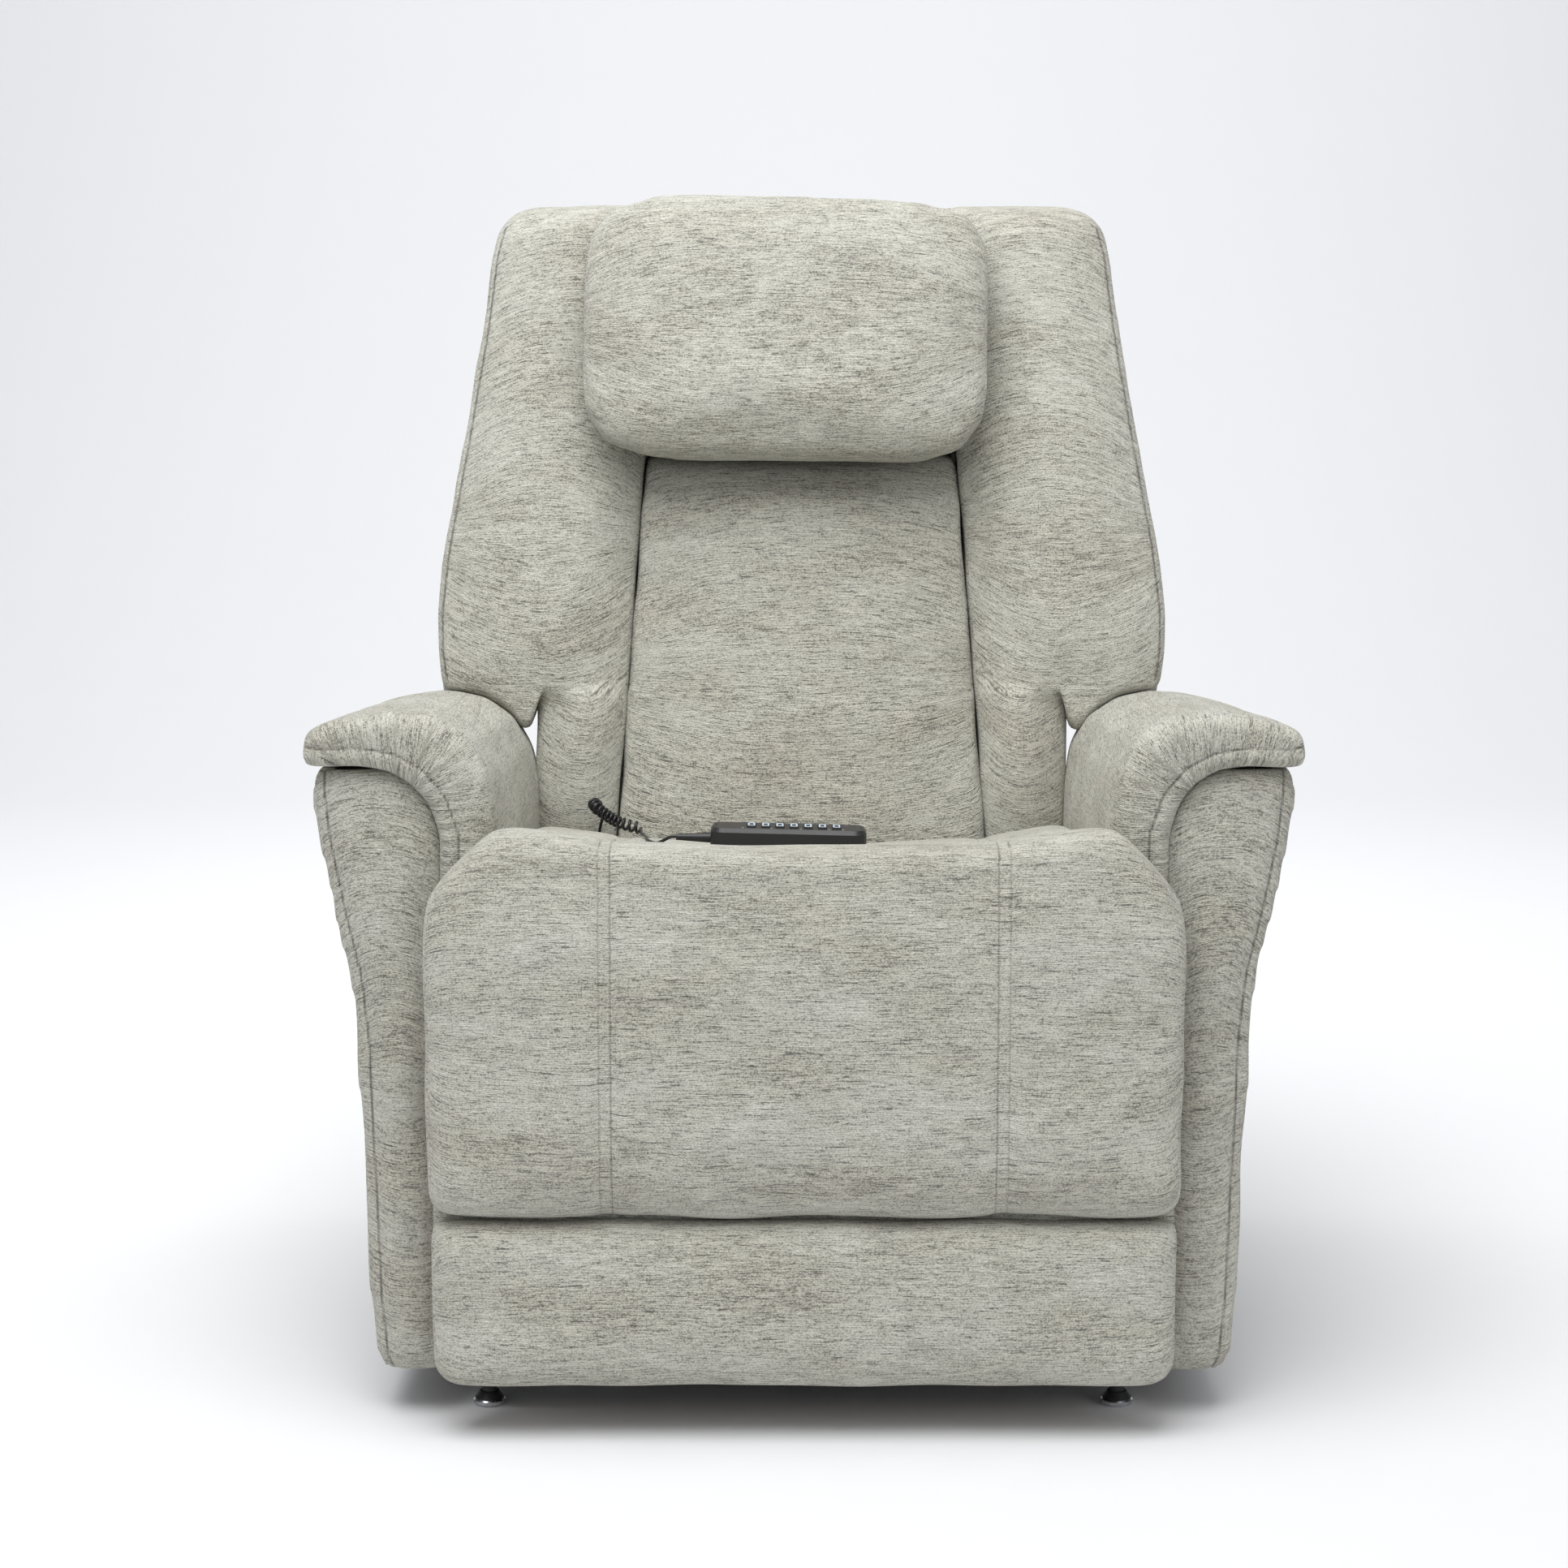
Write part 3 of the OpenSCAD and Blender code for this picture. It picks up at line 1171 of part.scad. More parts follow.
module headrest_brackets() {
  y1 = stile_y(rail_zs[2]) + rail_front / cos(back_lean) - gap;
  color(steel) for (s = [-1, 1]) difference() {
    side_plate(s > 0 ? head_ear_x : -head_ear_x - head_ear_t, head_ear_t) {
      bar2d(head_hinge, [y1 - 12, rail_zs[2]], 9);
      translate([y1, rail_zs[2]]) rotate(-back_lean) translate([-14, -10]) square([14, 20]);
    }
    rod_x(head_hinge, -head_ear_x - 20, 2 * head_ear_x + 40, pin_r - 1 + run_gap);
  }
}

pillow_z = 985.5;
function pillow_y() = back_face(pillow_z) - 10 - pillow_t / 2;

module at_pillow() {
  translate([pillow_shift, pillow_y(), pillow_z]) rotate([-back_lean, 0, 0])
    rotate([0, pillow_roll, 0]) children();
}

module headrest_frame() {
  color(steel) {
    at_pillow() translate([0, pillow_t / 2 - 5.1, 0])
      front_plate(0, 3) difference() {
        rounded_plate([340, 190], 16);
        rounded_plate([300, 150], 10);
      }
    for (s = [-1, 1]) {
      difference() {
        side_plate(s > 0 ? head_ear_x + head_ear_t + gap : -head_ear_x - 2 * head_ear_t - gap,
          head_ear_t) {
          translate(head_hinge) circle(9);
          polygon([head_hinge + [-9, 0], head_hinge + [9, 0], head_hinge + [3, 30],
            head_hinge + [-5, 30]]);
        }
        rod_x(head_hinge, -head_ear_x - 20, 2 * head_ear_x + 40, pin_r - 1.5);
      }
      rod_x(head_hinge, s > 0 ? head_ear_x - 2 : -head_ear_x - 2 * head_ear_t, 12, pin_r - 1);
    }
  }
}

module rounded_plate(size, r) {
  offset(r) square([size[0] - 2 * r, size[1] - 2 * r], center = true);
}

// Crowned pillow: rings from the middle of the back over the rim to the middle of the front.
// Its outline is a squarish oval with sides drawn in between the corners
function pillow_edge(a) =
  let (c = cos(a), s = sin(a), n = 5)
  let (k = pow(pow(abs(c), n) + pow(abs(s), n), -1 / n))
  [c * k, s * k] - 0.018 * [c * k * pow(abs(c * k), 3) * (1 - pow(s * k, 2)),
    s * k * pow(abs(s * k), 3) * (1 - pow(c * k, 2))];
pillow_n = 32;
pillow_phis = [-80, -66, -48, -28, -10, 10, 28, 48, 66, 80];

module head_pillow() {
  m = len(pillow_phis);
  pts = concat([[0, pillow_t / 2, 0]],
    [for (f = pillow_phis) let (s = pow(cos(f), 0.42), d = -sign(f) * pow(abs(sin(f)), 0.55))
      each [for (k = [0:pillow_n - 1]) let (e = pillow_edge(360 * k / pillow_n))
        [s * e[0] * pillow_w / 2, d * (pillow_t / 2 - (f > 0 ? 0 : 3)) * (1 - 0.22 * s * s * s),
          s * e[1] * pillow_h / 2]]],
    [[0, -pillow_t / 2, 0]]);
  n = pillow_n;
  faces = concat([for (k = [0:n - 1]) [0, 1 + k, 1 + (k + 1) % n]],
    [for (j = [0:m - 2]) for (k = [0:n - 1]) let (a = 1 + j * n, b = a + n, q = (k + 1) % n)
      each [[a + k, b + q, a + q], [a + k, b + k, b + q]]],
    [for (k = [0:n - 1]) let (a = 1 + (m - 1) * n) [1 + m * n, a + (k + 1) % n, a + k]]);
  color(cloth) at_pillow() polyhedron(pts, faces, convexity = 4);
}

// ---------- footrest ----------
pad_rear = front_y + pad_t;
board_y = pad_rear + gap;
board_top = knee_z - 40;
board_rear = board_y + board_t;

module footrest_board() {
  color(timber) difference() {
    translate([-320, board_y, lower_z + 14]) cube([640, board_t, board_top - lower_z - 14]);
    for (x = [-205, 65])
      translate([x, board_y - 1, lower_z + 60]) cube([140, board_t + 2, 80]);
    translate([footrest_motor_x - 20, board_y - 1, footrest_pin[1] - 27])
      cube([40, board_t + 2, 40]);
  }
}

strap_t = 4;
module footrest_hinges() {
  color(steel) {
    for (s = [-1, 1]) for (x = [hinge_x - 14, hinge_x + 8])
      difference() {
        side_plate(s > 0 ? x : -x - plate_t, plate_t) {
          translate(knee) circle(9);
          polygon([knee + [-9, 0], knee + [9, 0], [board_rear + strap_t + gap + 6, board_top - 10],
            [board_rear + strap_t, board_top - 40], [board_rear + gap, board_top - 40],
            [board_rear + gap, board_top + 2], [knee[0] - 8, knee[1] - 6]]);
        }
        rod_x(knee, s > 0 ? x - 1 : -x - plate_t - 1, plate_t + 2, pin_r - 0.5);
      }
    pair() translate([hinge_x - 20, board_rear + gap, board_top - 110]) cube([40, strap_t, 96]);
    pair() rod_x(knee, hinge_x - 16, 32, pin_r);
    difference() {
      side_plate(footrest_motor_x - lug_t / 2, lug_t)
        polygon([[board_rear + gap, footrest_pin[1] - 34],
          [board_rear + gap + 8, footrest_pin[1] - 34],
          footrest_pin + [11, -8], footrest_pin + [12, 0], footrest_pin + [9, 8],
          footrest_pin + [0, 12], [board_rear + gap, footrest_pin[1] + 12]]);
      rod_x(footrest_pin, footrest_motor_x - lug_t, 2 * lug_t, pin_r - 0.5);
    }
    rod_x(footrest_pin, footrest_motor_x - 15, 30, pin_r);
    translate([footrest_motor_x - 25, board_rear + gap, footrest_pin[1] - 63])
      cube([50, 3, 32]);
  }
}

// Ring of a footrest pad in the side view at a place x: front line upwards, rear line down.
// e draws the ring in at the sides, sew is the depth of a sewn channel there
function drop_ring(x, low, high, e, sew) =
  let (d = pad_t * (1 - 0.55 * e), y0 = pad_rear)
  let (f = [[0, 0.3], [0.02, 0.68], [0.06, 0.9], [0.14, 1], [0.32, 1], [0.5, 1], [0.68, 1],
    [0.86, 1], [0.94, 0.92], [0.98, 0.72], [1, 0.34]])
  concat([for (p = f) [x, y0 - (d - sew) * p[1], mix(low, high, p[0])]],
    [for (i = [len(f) - 1:-1:0]) [x, y0, mix(low, high, f[i][0])]]);

// Rounded lower corners and drawn-in sides: how much the lower end rises at a place x
function corner(x, hw, r) = r - sqrt(max(0, r * r - pow(max(0, abs(x) - hw + r), 2)));
function side_in(x, hw) = let (t = ramp(abs(x), hw - 16, hw)) 1 - sqrt(1 - t * t);

function chaise_top(x) = abs(x) > half - 4 ? knee_z + 3 : knee_z + 36;
// The same stations on both sides of the middle
function both_sides(xs) = concat([for (x = xs) -x], [for (i = [len(xs) - 1:-1:0]) xs[i]]);
function double_seam(x) = channel_d * (exp(-pow((abs(x) - channel_x - 4) / 2.4, 2))
  + exp(-pow((abs(x) - channel_x + 4) / 2.4, 2)));

chaise_xs = [chaise_half, chaise_half - 2, chaise_half - 8, chaise_half - 20, half + 16, half,
  half - 5, channel_x + 26, channel_x + 8, channel_x + 4, channel_x, channel_x - 4, channel_x - 8,
  110, 40];

module chaise_pad() {
  color(cloth) loft([for (x = both_sides(chaise_xs))
    drop_ring(x, chaise_z + corner(x, chaise_half, 20), chaise_top(x), side_in(x, chaise_half),
      double_seam(x))]);
}

lower_xs = [lower_half, lower_half - 2, lower_half - 8, lower_half - 20, 250, 150, 50];

module footrest_lower_pad() {
  color(cloth) loft([for (x = both_sides(lower_xs))
    drop_ring(x, lower_z + corner(x, lower_half, 24), chaise_z - 1, side_in(x, lower_half), 0)]);
}

base_frame();
glide_stems();
glide_discs();
stop_bumpers();
base_pivot_bolts();
power_supply();
lift_arms();
lift_arm_bolts();
lift_rockers();
lift_motor();
lift_motor_rod();
carriage_frame();
rocker_studs();
seat_box();
spring_bars();
seat_springs();
seat_cushion();
chaise_shoulders();
footrest_brackets();
recline_brackets();
arm_frame_left();
arm_frame_right();
arm_outer_left();
arm_outer_right();
arm_front_left();
arm_front_right();
arm_pad_left();
arm_pad_right();
rear_skirt();
control_box();
handset_shell();
handset_face();
handset_curly_cord();
handset_cord();
back_frame();
back_springs();
back_cushion();
back_top_cushion();
bolster_left();
bolster_right();
back_cover();
headrest_brackets();
headrest_frame();
head_pillow();
footrest_board();
footrest_hinges();
chaise_pad();
footrest_lower_pad();
recline_motor();
recline_motor_rod();
footrest_motor();
footrest_motor_rod();
key_1();
key_2();
key_3();
key_4();
key_5();
key_6();
key_7();
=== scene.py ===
# %% [markdown]
# # A lift recliner, dressed
# The steel base, linkage, motors and timber arrive finished from the frame. This script sets
# up the camera and the studio, lays the handset lead, sews the covers and pads, and gives
# every surface its finish. Lengths are metres, X runs across the chair, the sitter faces -Y
# and Z points up.

# %% Load the frame
import json
import math
import bpy
import bmesh
import numpy as np
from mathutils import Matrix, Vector
from mathutils.bvhtree import BVHTree


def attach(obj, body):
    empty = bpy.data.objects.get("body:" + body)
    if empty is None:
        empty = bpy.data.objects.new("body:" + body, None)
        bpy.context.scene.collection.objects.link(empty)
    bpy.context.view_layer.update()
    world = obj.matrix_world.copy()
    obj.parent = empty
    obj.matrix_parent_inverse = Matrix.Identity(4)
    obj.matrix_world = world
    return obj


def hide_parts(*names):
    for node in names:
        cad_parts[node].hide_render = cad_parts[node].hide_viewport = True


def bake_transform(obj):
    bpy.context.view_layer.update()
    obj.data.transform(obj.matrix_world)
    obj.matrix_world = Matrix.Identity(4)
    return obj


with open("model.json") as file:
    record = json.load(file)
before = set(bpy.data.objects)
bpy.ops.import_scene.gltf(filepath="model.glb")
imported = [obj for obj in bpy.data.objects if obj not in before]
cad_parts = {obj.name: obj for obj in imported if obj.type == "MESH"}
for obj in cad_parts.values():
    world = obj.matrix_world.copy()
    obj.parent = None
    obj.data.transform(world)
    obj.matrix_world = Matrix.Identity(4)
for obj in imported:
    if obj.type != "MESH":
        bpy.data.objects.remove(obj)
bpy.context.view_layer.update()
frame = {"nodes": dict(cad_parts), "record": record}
nodes = frame["nodes"]
MM = 0.001
scene = bpy.context.scene

# %% [markdown]
# ## Camera and studio
# A long lens a little above arm height looks slightly down at the chair. The floor rolls up
# into the back wall, so no horizon shows, and light comes from large soft boxes.

# %% Camera
LENS = 82.45
CAMERA_PLACE = (-0.018, -3.57, 1.1)
CAMERA_DOWN = 8.96
camera_data = bpy.data.cameras.new("studio_camera")
camera_data.sensor_width = 36
camera_data.lens = LENS
camera = bpy.data.objects.new("studio_camera", camera_data)
camera.location = CAMERA_PLACE
camera.rotation_euler = (math.radians(90 - CAMERA_DOWN), 0, 0)
scene.collection.objects.link(camera)
scene.camera = camera
scene.view_settings.view_transform = "Standard"
print("camera at", tuple(camera.location))


# %% Surfaces from arrays
def add_object(name, mesh):
    """A new object at the origin that shows the mesh."""
    obj = bpy.data.objects.new(name, mesh)
    scene.collection.objects.link(obj)
    return obj


def mesh_from(name, points, faces):
    """A smooth-shaded mesh from an array of points and lists of corners."""
    mesh = bpy.data.meshes.new(name)
    mesh.from_pydata(np.asarray(points, float).tolist(), [], [list(map(int, f)) for f in faces])
    mesh.polygons.foreach_set("use_smooth", np.ones(len(mesh.polygons), bool))
    mesh.update()
    return mesh


def grid_faces(rows, cols, ring=False):
    """Corners of the quads between neighbouring rows of a grid; ring joins the last column
    to the first."""
    i = np.arange(rows - 1)[:, None]
    j = np.arange(cols if ring else cols - 1)[None, :]
    k = (j + 1) % cols
    quads = [i * cols + j, i * cols + k, (i + 1) * cols + k, (i + 1) * cols + j]
    return np.stack([q + 0 * (i + j) for q in quads], -1).reshape(-1, 4)


def ease(t):
    """Smooth step: 3t squared less 2t cubed, with t held between 0 and 1."""
    t = np.clip(t, 0, 1)
    return t * t * (3 - 2 * t)


# %% Floor and wall
FLOOR_REACH, BEND_START, BEND_RADIUS = 9, 3.2, 2.6
bend = np.linspace(0.05, 1, 14) * np.pi / 2
run = np.concatenate([np.linspace(-FLOOR_REACH, BEND_START, 12), BEND_START + BEND_RADIUS * np.sin(bend),
                      np.full(3, BEND_START + BEND_RADIUS)])
rise = np.concatenate([np.zeros(12), BEND_RADIUS * (1 - np.cos(bend)), [3.6, 5.0, 7.0]])
across = np.linspace(-FLOOR_REACH, FLOOR_REACH, 9)
sweep = np.stack([np.broadcast_to(across, (len(run), 9)), np.repeat(run[:, None], 9, 1),
                  np.repeat(rise[:, None], 9, 1)], -1).reshape(-1, 3)
floor = add_object("studio_sweep", mesh_from("studio_sweep", sweep, grid_faces(len(run), 9)))
print("sweep:", len(floor.data.polygons), "faces")


# %% [markdown]
# ## Finishes
# Each finish is a small network of nodes. The cloth is a chenille weave: plump weft yarns lie
# in rows, with darker and paler slubs along them. Its pattern follows an attribute called
# weave, in metres along and across the weft, so that the rows bend with each cover.

# %% Node helpers
def finish(name):
    """A new material, its node tree and its shader."""
    material = bpy.data.materials.new(name)
    material.use_nodes = True
    tree = material.node_tree
    return material, tree, tree.nodes["Principled BSDF"]


def add(tree, kind, inputs=None, **settings):
    """A node with its settings and its inputs, which are values or sockets."""
    node = tree.nodes.new("ShaderNode" + kind)
    for key, value in settings.items():
        setattr(node, key, value)
    for key, value in (inputs or {}).items():
        if isinstance(value, bpy.types.NodeSocket):
            tree.links.new(value, node.inputs[key])
        else:
            node.inputs[key].default_value = value
    return node


def calc(tree, operation, *values):
    """The result of a sum, product or other operation on values or sockets."""
    return add(tree, "Math", dict(enumerate(values)), operation=operation).outputs[0]


def noise(tree, vector, detail=2, rough=0.5, size=1.0):
    """Smooth noise around 0.5 whose grain is one unit of the vector divided by size."""
    return add(tree, "TexNoise", {"Vector": vector, "Scale": size, "Detail": detail,
                                  "Roughness": rough}).outputs["Fac"]


def stretched(tree, vector, scale):
    """The vector with each axis multiplied."""
    return add(tree, "VectorMath", {0: vector, 1: scale}, operation="MULTIPLY").outputs[0]


def blend_colours(tree, share, first, second):
    """A colour between two others."""
    node = add(tree, "Mix", {0: share, 6: first, 7: second}, data_type="RGBA")
    return node.outputs[2]


def to_range(tree, value, low, high, new_low=0.0, new_high=1.0):
    """A value carried from one range to another and held inside it."""
    return add(tree, "MapRange", {"Value": value, "From Min": low, "From Max": high,
                                  "To Min": new_low, "To Max": new_high}).outputs[0]


# %% Chenille cloth
ROW = 0.0017


def chenille(name, pale, mid, dark):
    """Woven cloth. Rows: the size of a sine across the weft, every 1.7 mm. Slubs: noise
    drawn out twenty times along the weft. Knots: cells of 1.8 mm."""
    material, tree, shader = finish(name)
    weave = add(tree, "Attribute", attribute_name="weave").outputs["Vector"]
    seam = add(tree, "Attribute", attribute_name="seam").outputs["Fac"]
    wander = noise(tree, stretched(tree, weave, (60, 60, 1)), 1)
    axes = add(tree, "SeparateXYZ", {0: weave})
    rows_at = calc(tree, "MULTIPLY_ADD", wander, 0.0035, axes.outputs[1])
    row_wave = calc(tree, "SINE", calc(tree, "MULTIPLY", rows_at, math.pi / ROW))
    rows = calc(tree, "POWER", calc(tree, "ABSOLUTE", row_wave), 0.7)
    knots = add(tree, "TexVoronoi", {"Vector": stretched(tree, weave, (500, 610, 1)), "Scale": 1.0,
                                     "Randomness": 0.9}, feature="F1").outputs["Distance"]
    fine = noise(tree, stretched(tree, weave, (800, 1000, 1)), 2, 0.6)
    slubs = noise(tree, stretched(tree, weave, (40, 760, 1)), 3, 0.6)
    short = noise(tree, stretched(tree, weave, (120, 820, 3)), 2, 0.6)
    broad = noise(tree, stretched(tree, weave, (7, 16, 1)), 3, 0.55)
    patch = noise(tree, stretched(tree, weave, (34, 95, 7)), 2, 0.6)
    streak = to_range(tree, noise(tree, stretched(tree, weave, (46, 620, 11)), 2, 0.5), 0.60, 0.74)
    tone = calc(tree, "MULTIPLY_ADD", slubs, 0.34, calc(tree, "MULTIPLY", short, 0.34))
    tone = calc(tree, "ADD", tone, calc(tree, "MULTIPLY", broad, 0.16))
    tone = calc(tree, "ADD", tone, calc(tree, "MULTIPLY", patch, 0.12))
    tone = calc(tree, "ADD", tone, calc(tree, "MULTIPLY", fine, 0.24))
    tone = calc(tree, "SUBTRACT", tone, calc(tree, "MULTIPLY", knots, 0.20))
    tone = calc(tree, "SUBTRACT", tone, calc(tree, "MULTIPLY", streak, 0.17))
    ramp = add(tree, "ValToRGB", {"Fac": to_range(tree, tone, 0.305, 0.695)})
    stops = ramp.color_ramp.elements
    stops[0].position, stops[0].color = 0.10, (*dark, 1)
    stops[1].position, stops[1].color = 0.95, (*pale, 1)
    middle = stops.new(0.46)
    middle.color = (*mid, 1)
    low = stops.new(0.30)
    low.color = (*[0.5 * (a + b) for a, b in zip(mid, dark)], 1)
    valley = to_range(tree, rows, 0.0, 0.55, 0.80, 1.0)
    line = to_range(tree, seam, 0.0004, 0.0019, 0.33, 1.0)
    shaded = calc(tree, "MULTIPLY", valley, line)
    tint = blend_colours(tree, to_range(tree, broad, 0.36, 0.64), (1.0, 0.98, 0.935, 1),
                         (0.985, 0.99, 0.975, 1))
    dyed = add(tree, "VectorMath", {0: ramp.outputs[0], 1: tint}, operation="MULTIPLY").outputs[0]
    tree.links.new(add(tree, "VectorMath", {0: dyed, "Scale": shaded}, operation="SCALE").outputs[0],
                   shader.inputs["Base Color"])
    shader.inputs["Roughness"].default_value = 0.95
    shader.inputs["Specular IOR Level"].default_value = 0.12
    shader.inputs["Sheen Weight"].default_value = 0.22
    shader.inputs["Sheen Roughness"].default_value = 0.6
    shader.inputs["Sheen Tint"].default_value = (0.93, 0.92, 0.89, 1)
    groove = to_range(tree, seam, 0.0, 0.0035, 0.0, 1.0)
    near = to_range(tree, seam, 0.001, 0.011, 1.0, 0.0)
    pucker = calc(tree, "MULTIPLY", near, noise(tree, stretched(tree, weave, (8, 150, 1)), 1))
    height = calc(tree, "MULTIPLY_ADD", rows, 0.55, calc(tree, "MULTIPLY", knots, -0.95))
    height = calc(tree, "ADD", height, calc(tree, "MULTIPLY", short, 0.5))
    height = calc(tree, "ADD", height, calc(tree, "MULTIPLY", groove, 1.6))
    height = calc(tree, "ADD", height, calc(tree, "MULTIPLY", pucker, 1.6))
    bump = add(tree, "Bump", {"Height": height, "Strength": 0.55, "Distance": 0.0012})
    tree.links.new(bump.outputs[0], shader.inputs["Normal"])
    return material


CLOTH = chenille("grey_chenille", pale=(0.69, 0.68, 0.625), mid=(0.425, 0.418, 0.370),
                 dark=(0.125, 0.124, 0.111))
print("cloth nodes:", len(CLOTH.node_tree.nodes))


# %% Hard finishes
def plain_finish(name, colour, rough, metallic=0.0, grain=400.0, depth=0.00004, mottle=0.12, **more):
    """A moulded, painted or plated surface: fine noise moves its tone and its roughness, and
    a bump gives its grain. grain is cells per metre."""
    material, tree, shader = finish(name)
    place = add(tree, "TexCoord").outputs["Object"]
    speck = noise(tree, place, 3, 0.6, grain)
    cloud = noise(tree, place, 2, 0.5, 18.0)
    mixed = calc(tree, "MULTIPLY_ADD", cloud, 0.6, calc(tree, "MULTIPLY", speck, 0.4))
    dark = [c * (1 - mottle) for c in colour]
    pale = [min(1.0, c * (1 + mottle)) for c in colour]
    tree.links.new(blend_colours(tree, to_range(tree, mixed, 0.3, 0.7), (*dark, 1), (*pale, 1)),
                   shader.inputs["Base Color"])
    tree.links.new(to_range(tree, mixed, 0.3, 0.7, rough * 0.85, min(1.0, rough * 1.12)),
                   shader.inputs["Roughness"])
    shader.inputs["Metallic"].default_value = metallic
    for key, value in more.items():
        shader.inputs[key.replace("_", " ")].default_value = value
    bump = add(tree, "Bump", {"Height": speck, "Strength": 0.5, "Distance": depth})
    tree.links.new(bump.outputs[0], shader.inputs["Normal"])
    return material


POWDER = plain_finish("black_powder_coat", (0.022, 0.022, 0.024), 0.48, grain=900, depth=0.0001)
ZINC = plain_finish("bright_zinc", (0.62, 0.63, 0.66), 0.28, metallic=1.0, grain=260, mottle=0.08)
MOULDED = plain_finish("black_moulding", (0.016, 0.016, 0.018), 0.52, grain=1500, depth=0.00006)
SOFT_BLACK = plain_finish("handset_black", (0.012, 0.012, 0.0135), 0.42, grain=2200, depth=0.00003)
KEYCAP = plain_finish("keycap_charcoal", (0.02, 0.02, 0.023), 0.36, grain=2500, depth=0.00002)
RUBBER = plain_finish("black_rubber", (0.013, 0.013, 0.014), 0.62, grain=700, depth=0.00005)
JACKET = plain_finish("lead_jacket", (0.008, 0.008, 0.0095), 0.34, grain=900, depth=0.00002)
STUDIO = plain_finish("studio_paper", (0.77, 0.775, 0.788), 0.9, grain=3, depth=0.0, mottle=0.003)
floor.data.materials.append(STUDIO)


# %% Timber
def timber():
    """Plywood and softwood: noise drawn out along the grain gives its streaks."""
    material, tree, shader = finish("pale_timber")
    place = add(tree, "TexCoord").outputs["Object"]
    streak = noise(tree, stretched(tree, place, (8, 8, 160)), 4, 0.6)
    wide = noise(tree, stretched(tree, place, (3, 3, 24)), 2, 0.5)
    mixed = calc(tree, "MULTIPLY_ADD", streak, 0.6, calc(tree, "MULTIPLY", wide, 0.4))
    tree.links.new(blend_colours(tree, to_range(tree, mixed, 0.3, 0.7), (0.36, 0.22, 0.11, 1),
                                 (0.66, 0.48, 0.29, 1)), shader.inputs["Base Color"])
    shader.inputs["Roughness"].default_value = 0.7
    bump = add(tree, "Bump", {"Height": streak, "Strength": 0.3, "Distance": 0.0002})
    tree.links.new(bump.outputs[0], shader.inputs["Normal"])
    return material


TIMBER = timber()
BY_SLOT = {"timber": TIMBER, "dark_steel": POWDER, "zinc": ZINC, "black_plastic": MOULDED,
           "rubber": RUBBER, "cord_jacket": JACKET, "key_caps": KEYCAP,
           "handset_face": SOFT_BLACK, "upholstery": CLOTH}
slots = {s["node"]: s["material_slot"] for s in frame["record"]["subparts"]}
for node_name, node in nodes.items():
    wanted = SOFT_BLACK if node_name == "handset_shell" else BY_SLOT[slots[node_name]]
    node.data.materials.clear()
    node.data.materials.append(wanted)
print("finishes on", len(nodes), "frame pieces")


# %% Lamps
def soft_box(name, place, aim, size, watts):
    """A square area lamp at a place, turned towards a point."""
    data = bpy.data.lights.new(name, "AREA")
    data.shape, data.size, data.energy = "SQUARE", size, watts
    lamp = bpy.data.objects.new(name, data)
    lamp.location = place
    lamp.rotation_euler = (Vector(aim) - Vector(place)).to_track_quat("-Z", "Y").to_euler()
    scene.collection.objects.link(lamp)


soft_box("top_box", (-0.4, -1.3, 3.2), (0, -0.3, 0.4), 2.6, 112)
soft_box("front_box", (-1.8, -3.8, 2.2), (0, 0, 0.6), 2.4, 9)
soft_box("side_box", (2.8, -2.6, 1.9), (0, 0, 0.5), 2.0, 13)
soft_box("wall_box", (0, 1.4, 3.6), (0, 5.4, 1.2), 3.4, 125)
world = bpy.data.worlds.new("studio_air")
world.use_nodes = True
world.node_tree.nodes["Background"].inputs[0].default_value = (0.93, 0.945, 0.97, 1)
world.node_tree.nodes["Background"].inputs[1].default_value = 0.46
scene.world = world
print("lamps:", len(bpy.data.lights))

# %% [markdown]
# ## Handset lead
# The lead is one cord: plain from the handset's strain relief over the seat, then curled, then
# down into the gap between seat and back, where it joins the control box. A free cord is a
# curve with a round section, so that its real length and thickness can be measured.

# %% Seat surface and handset place
SEAT_HALF = 0.278
SEAT_BACK = 0.112


def ramp01(t, low, high):
    """How far t has come from low to high, held between 0 and 1."""
    return np.clip((t - low) / (high - low), 0, 1)


def seat_height(x, y):
    """Seat surface: crest at the front, a level stretch, a fall to the rear as a power of
    1.3, and a dish that grows with the square of the distance from the middle."""
    line = (0.549 - 0.029 * ease(ramp01(y, -0.385, -0.300)) - 0.018 * ease(ramp01(y, -0.310, -0.225))
            - (0.549 - 0.047 - 0.452) * ramp01(y, -0.190, SEAT_BACK) ** 1.3)
    dish = 0.014 * (1 + 0.9 * ramp01(y, -0.300, SEAT_BACK))
    return line + dish * np.minimum(np.abs(x) / SEAT_HALF, 1) ** 2


HANDSET = (-0.014, -0.200, 0.5046)
HANDSET_TURN = (math.radians(-2), math.radians(1.4))


def on_handset(points):
    """Points of the handset's own frame, laid on the seat: first rolled about Y, then tilted
    about X, then moved to its place."""
    p = np.atleast_2d(np.asarray(points, float))
    b, a = HANDSET_TURN
    x = p[:, 0] * math.cos(a) + p[:, 2] * math.sin(a)
    z = p[:, 2] * math.cos(a) - p[:, 0] * math.sin(a)
    y = p[:, 1]
    return np.stack([x, y * math.cos(b) - z * math.sin(b), y * math.sin(b) + z * math.cos(b)], 1) + HANDSET


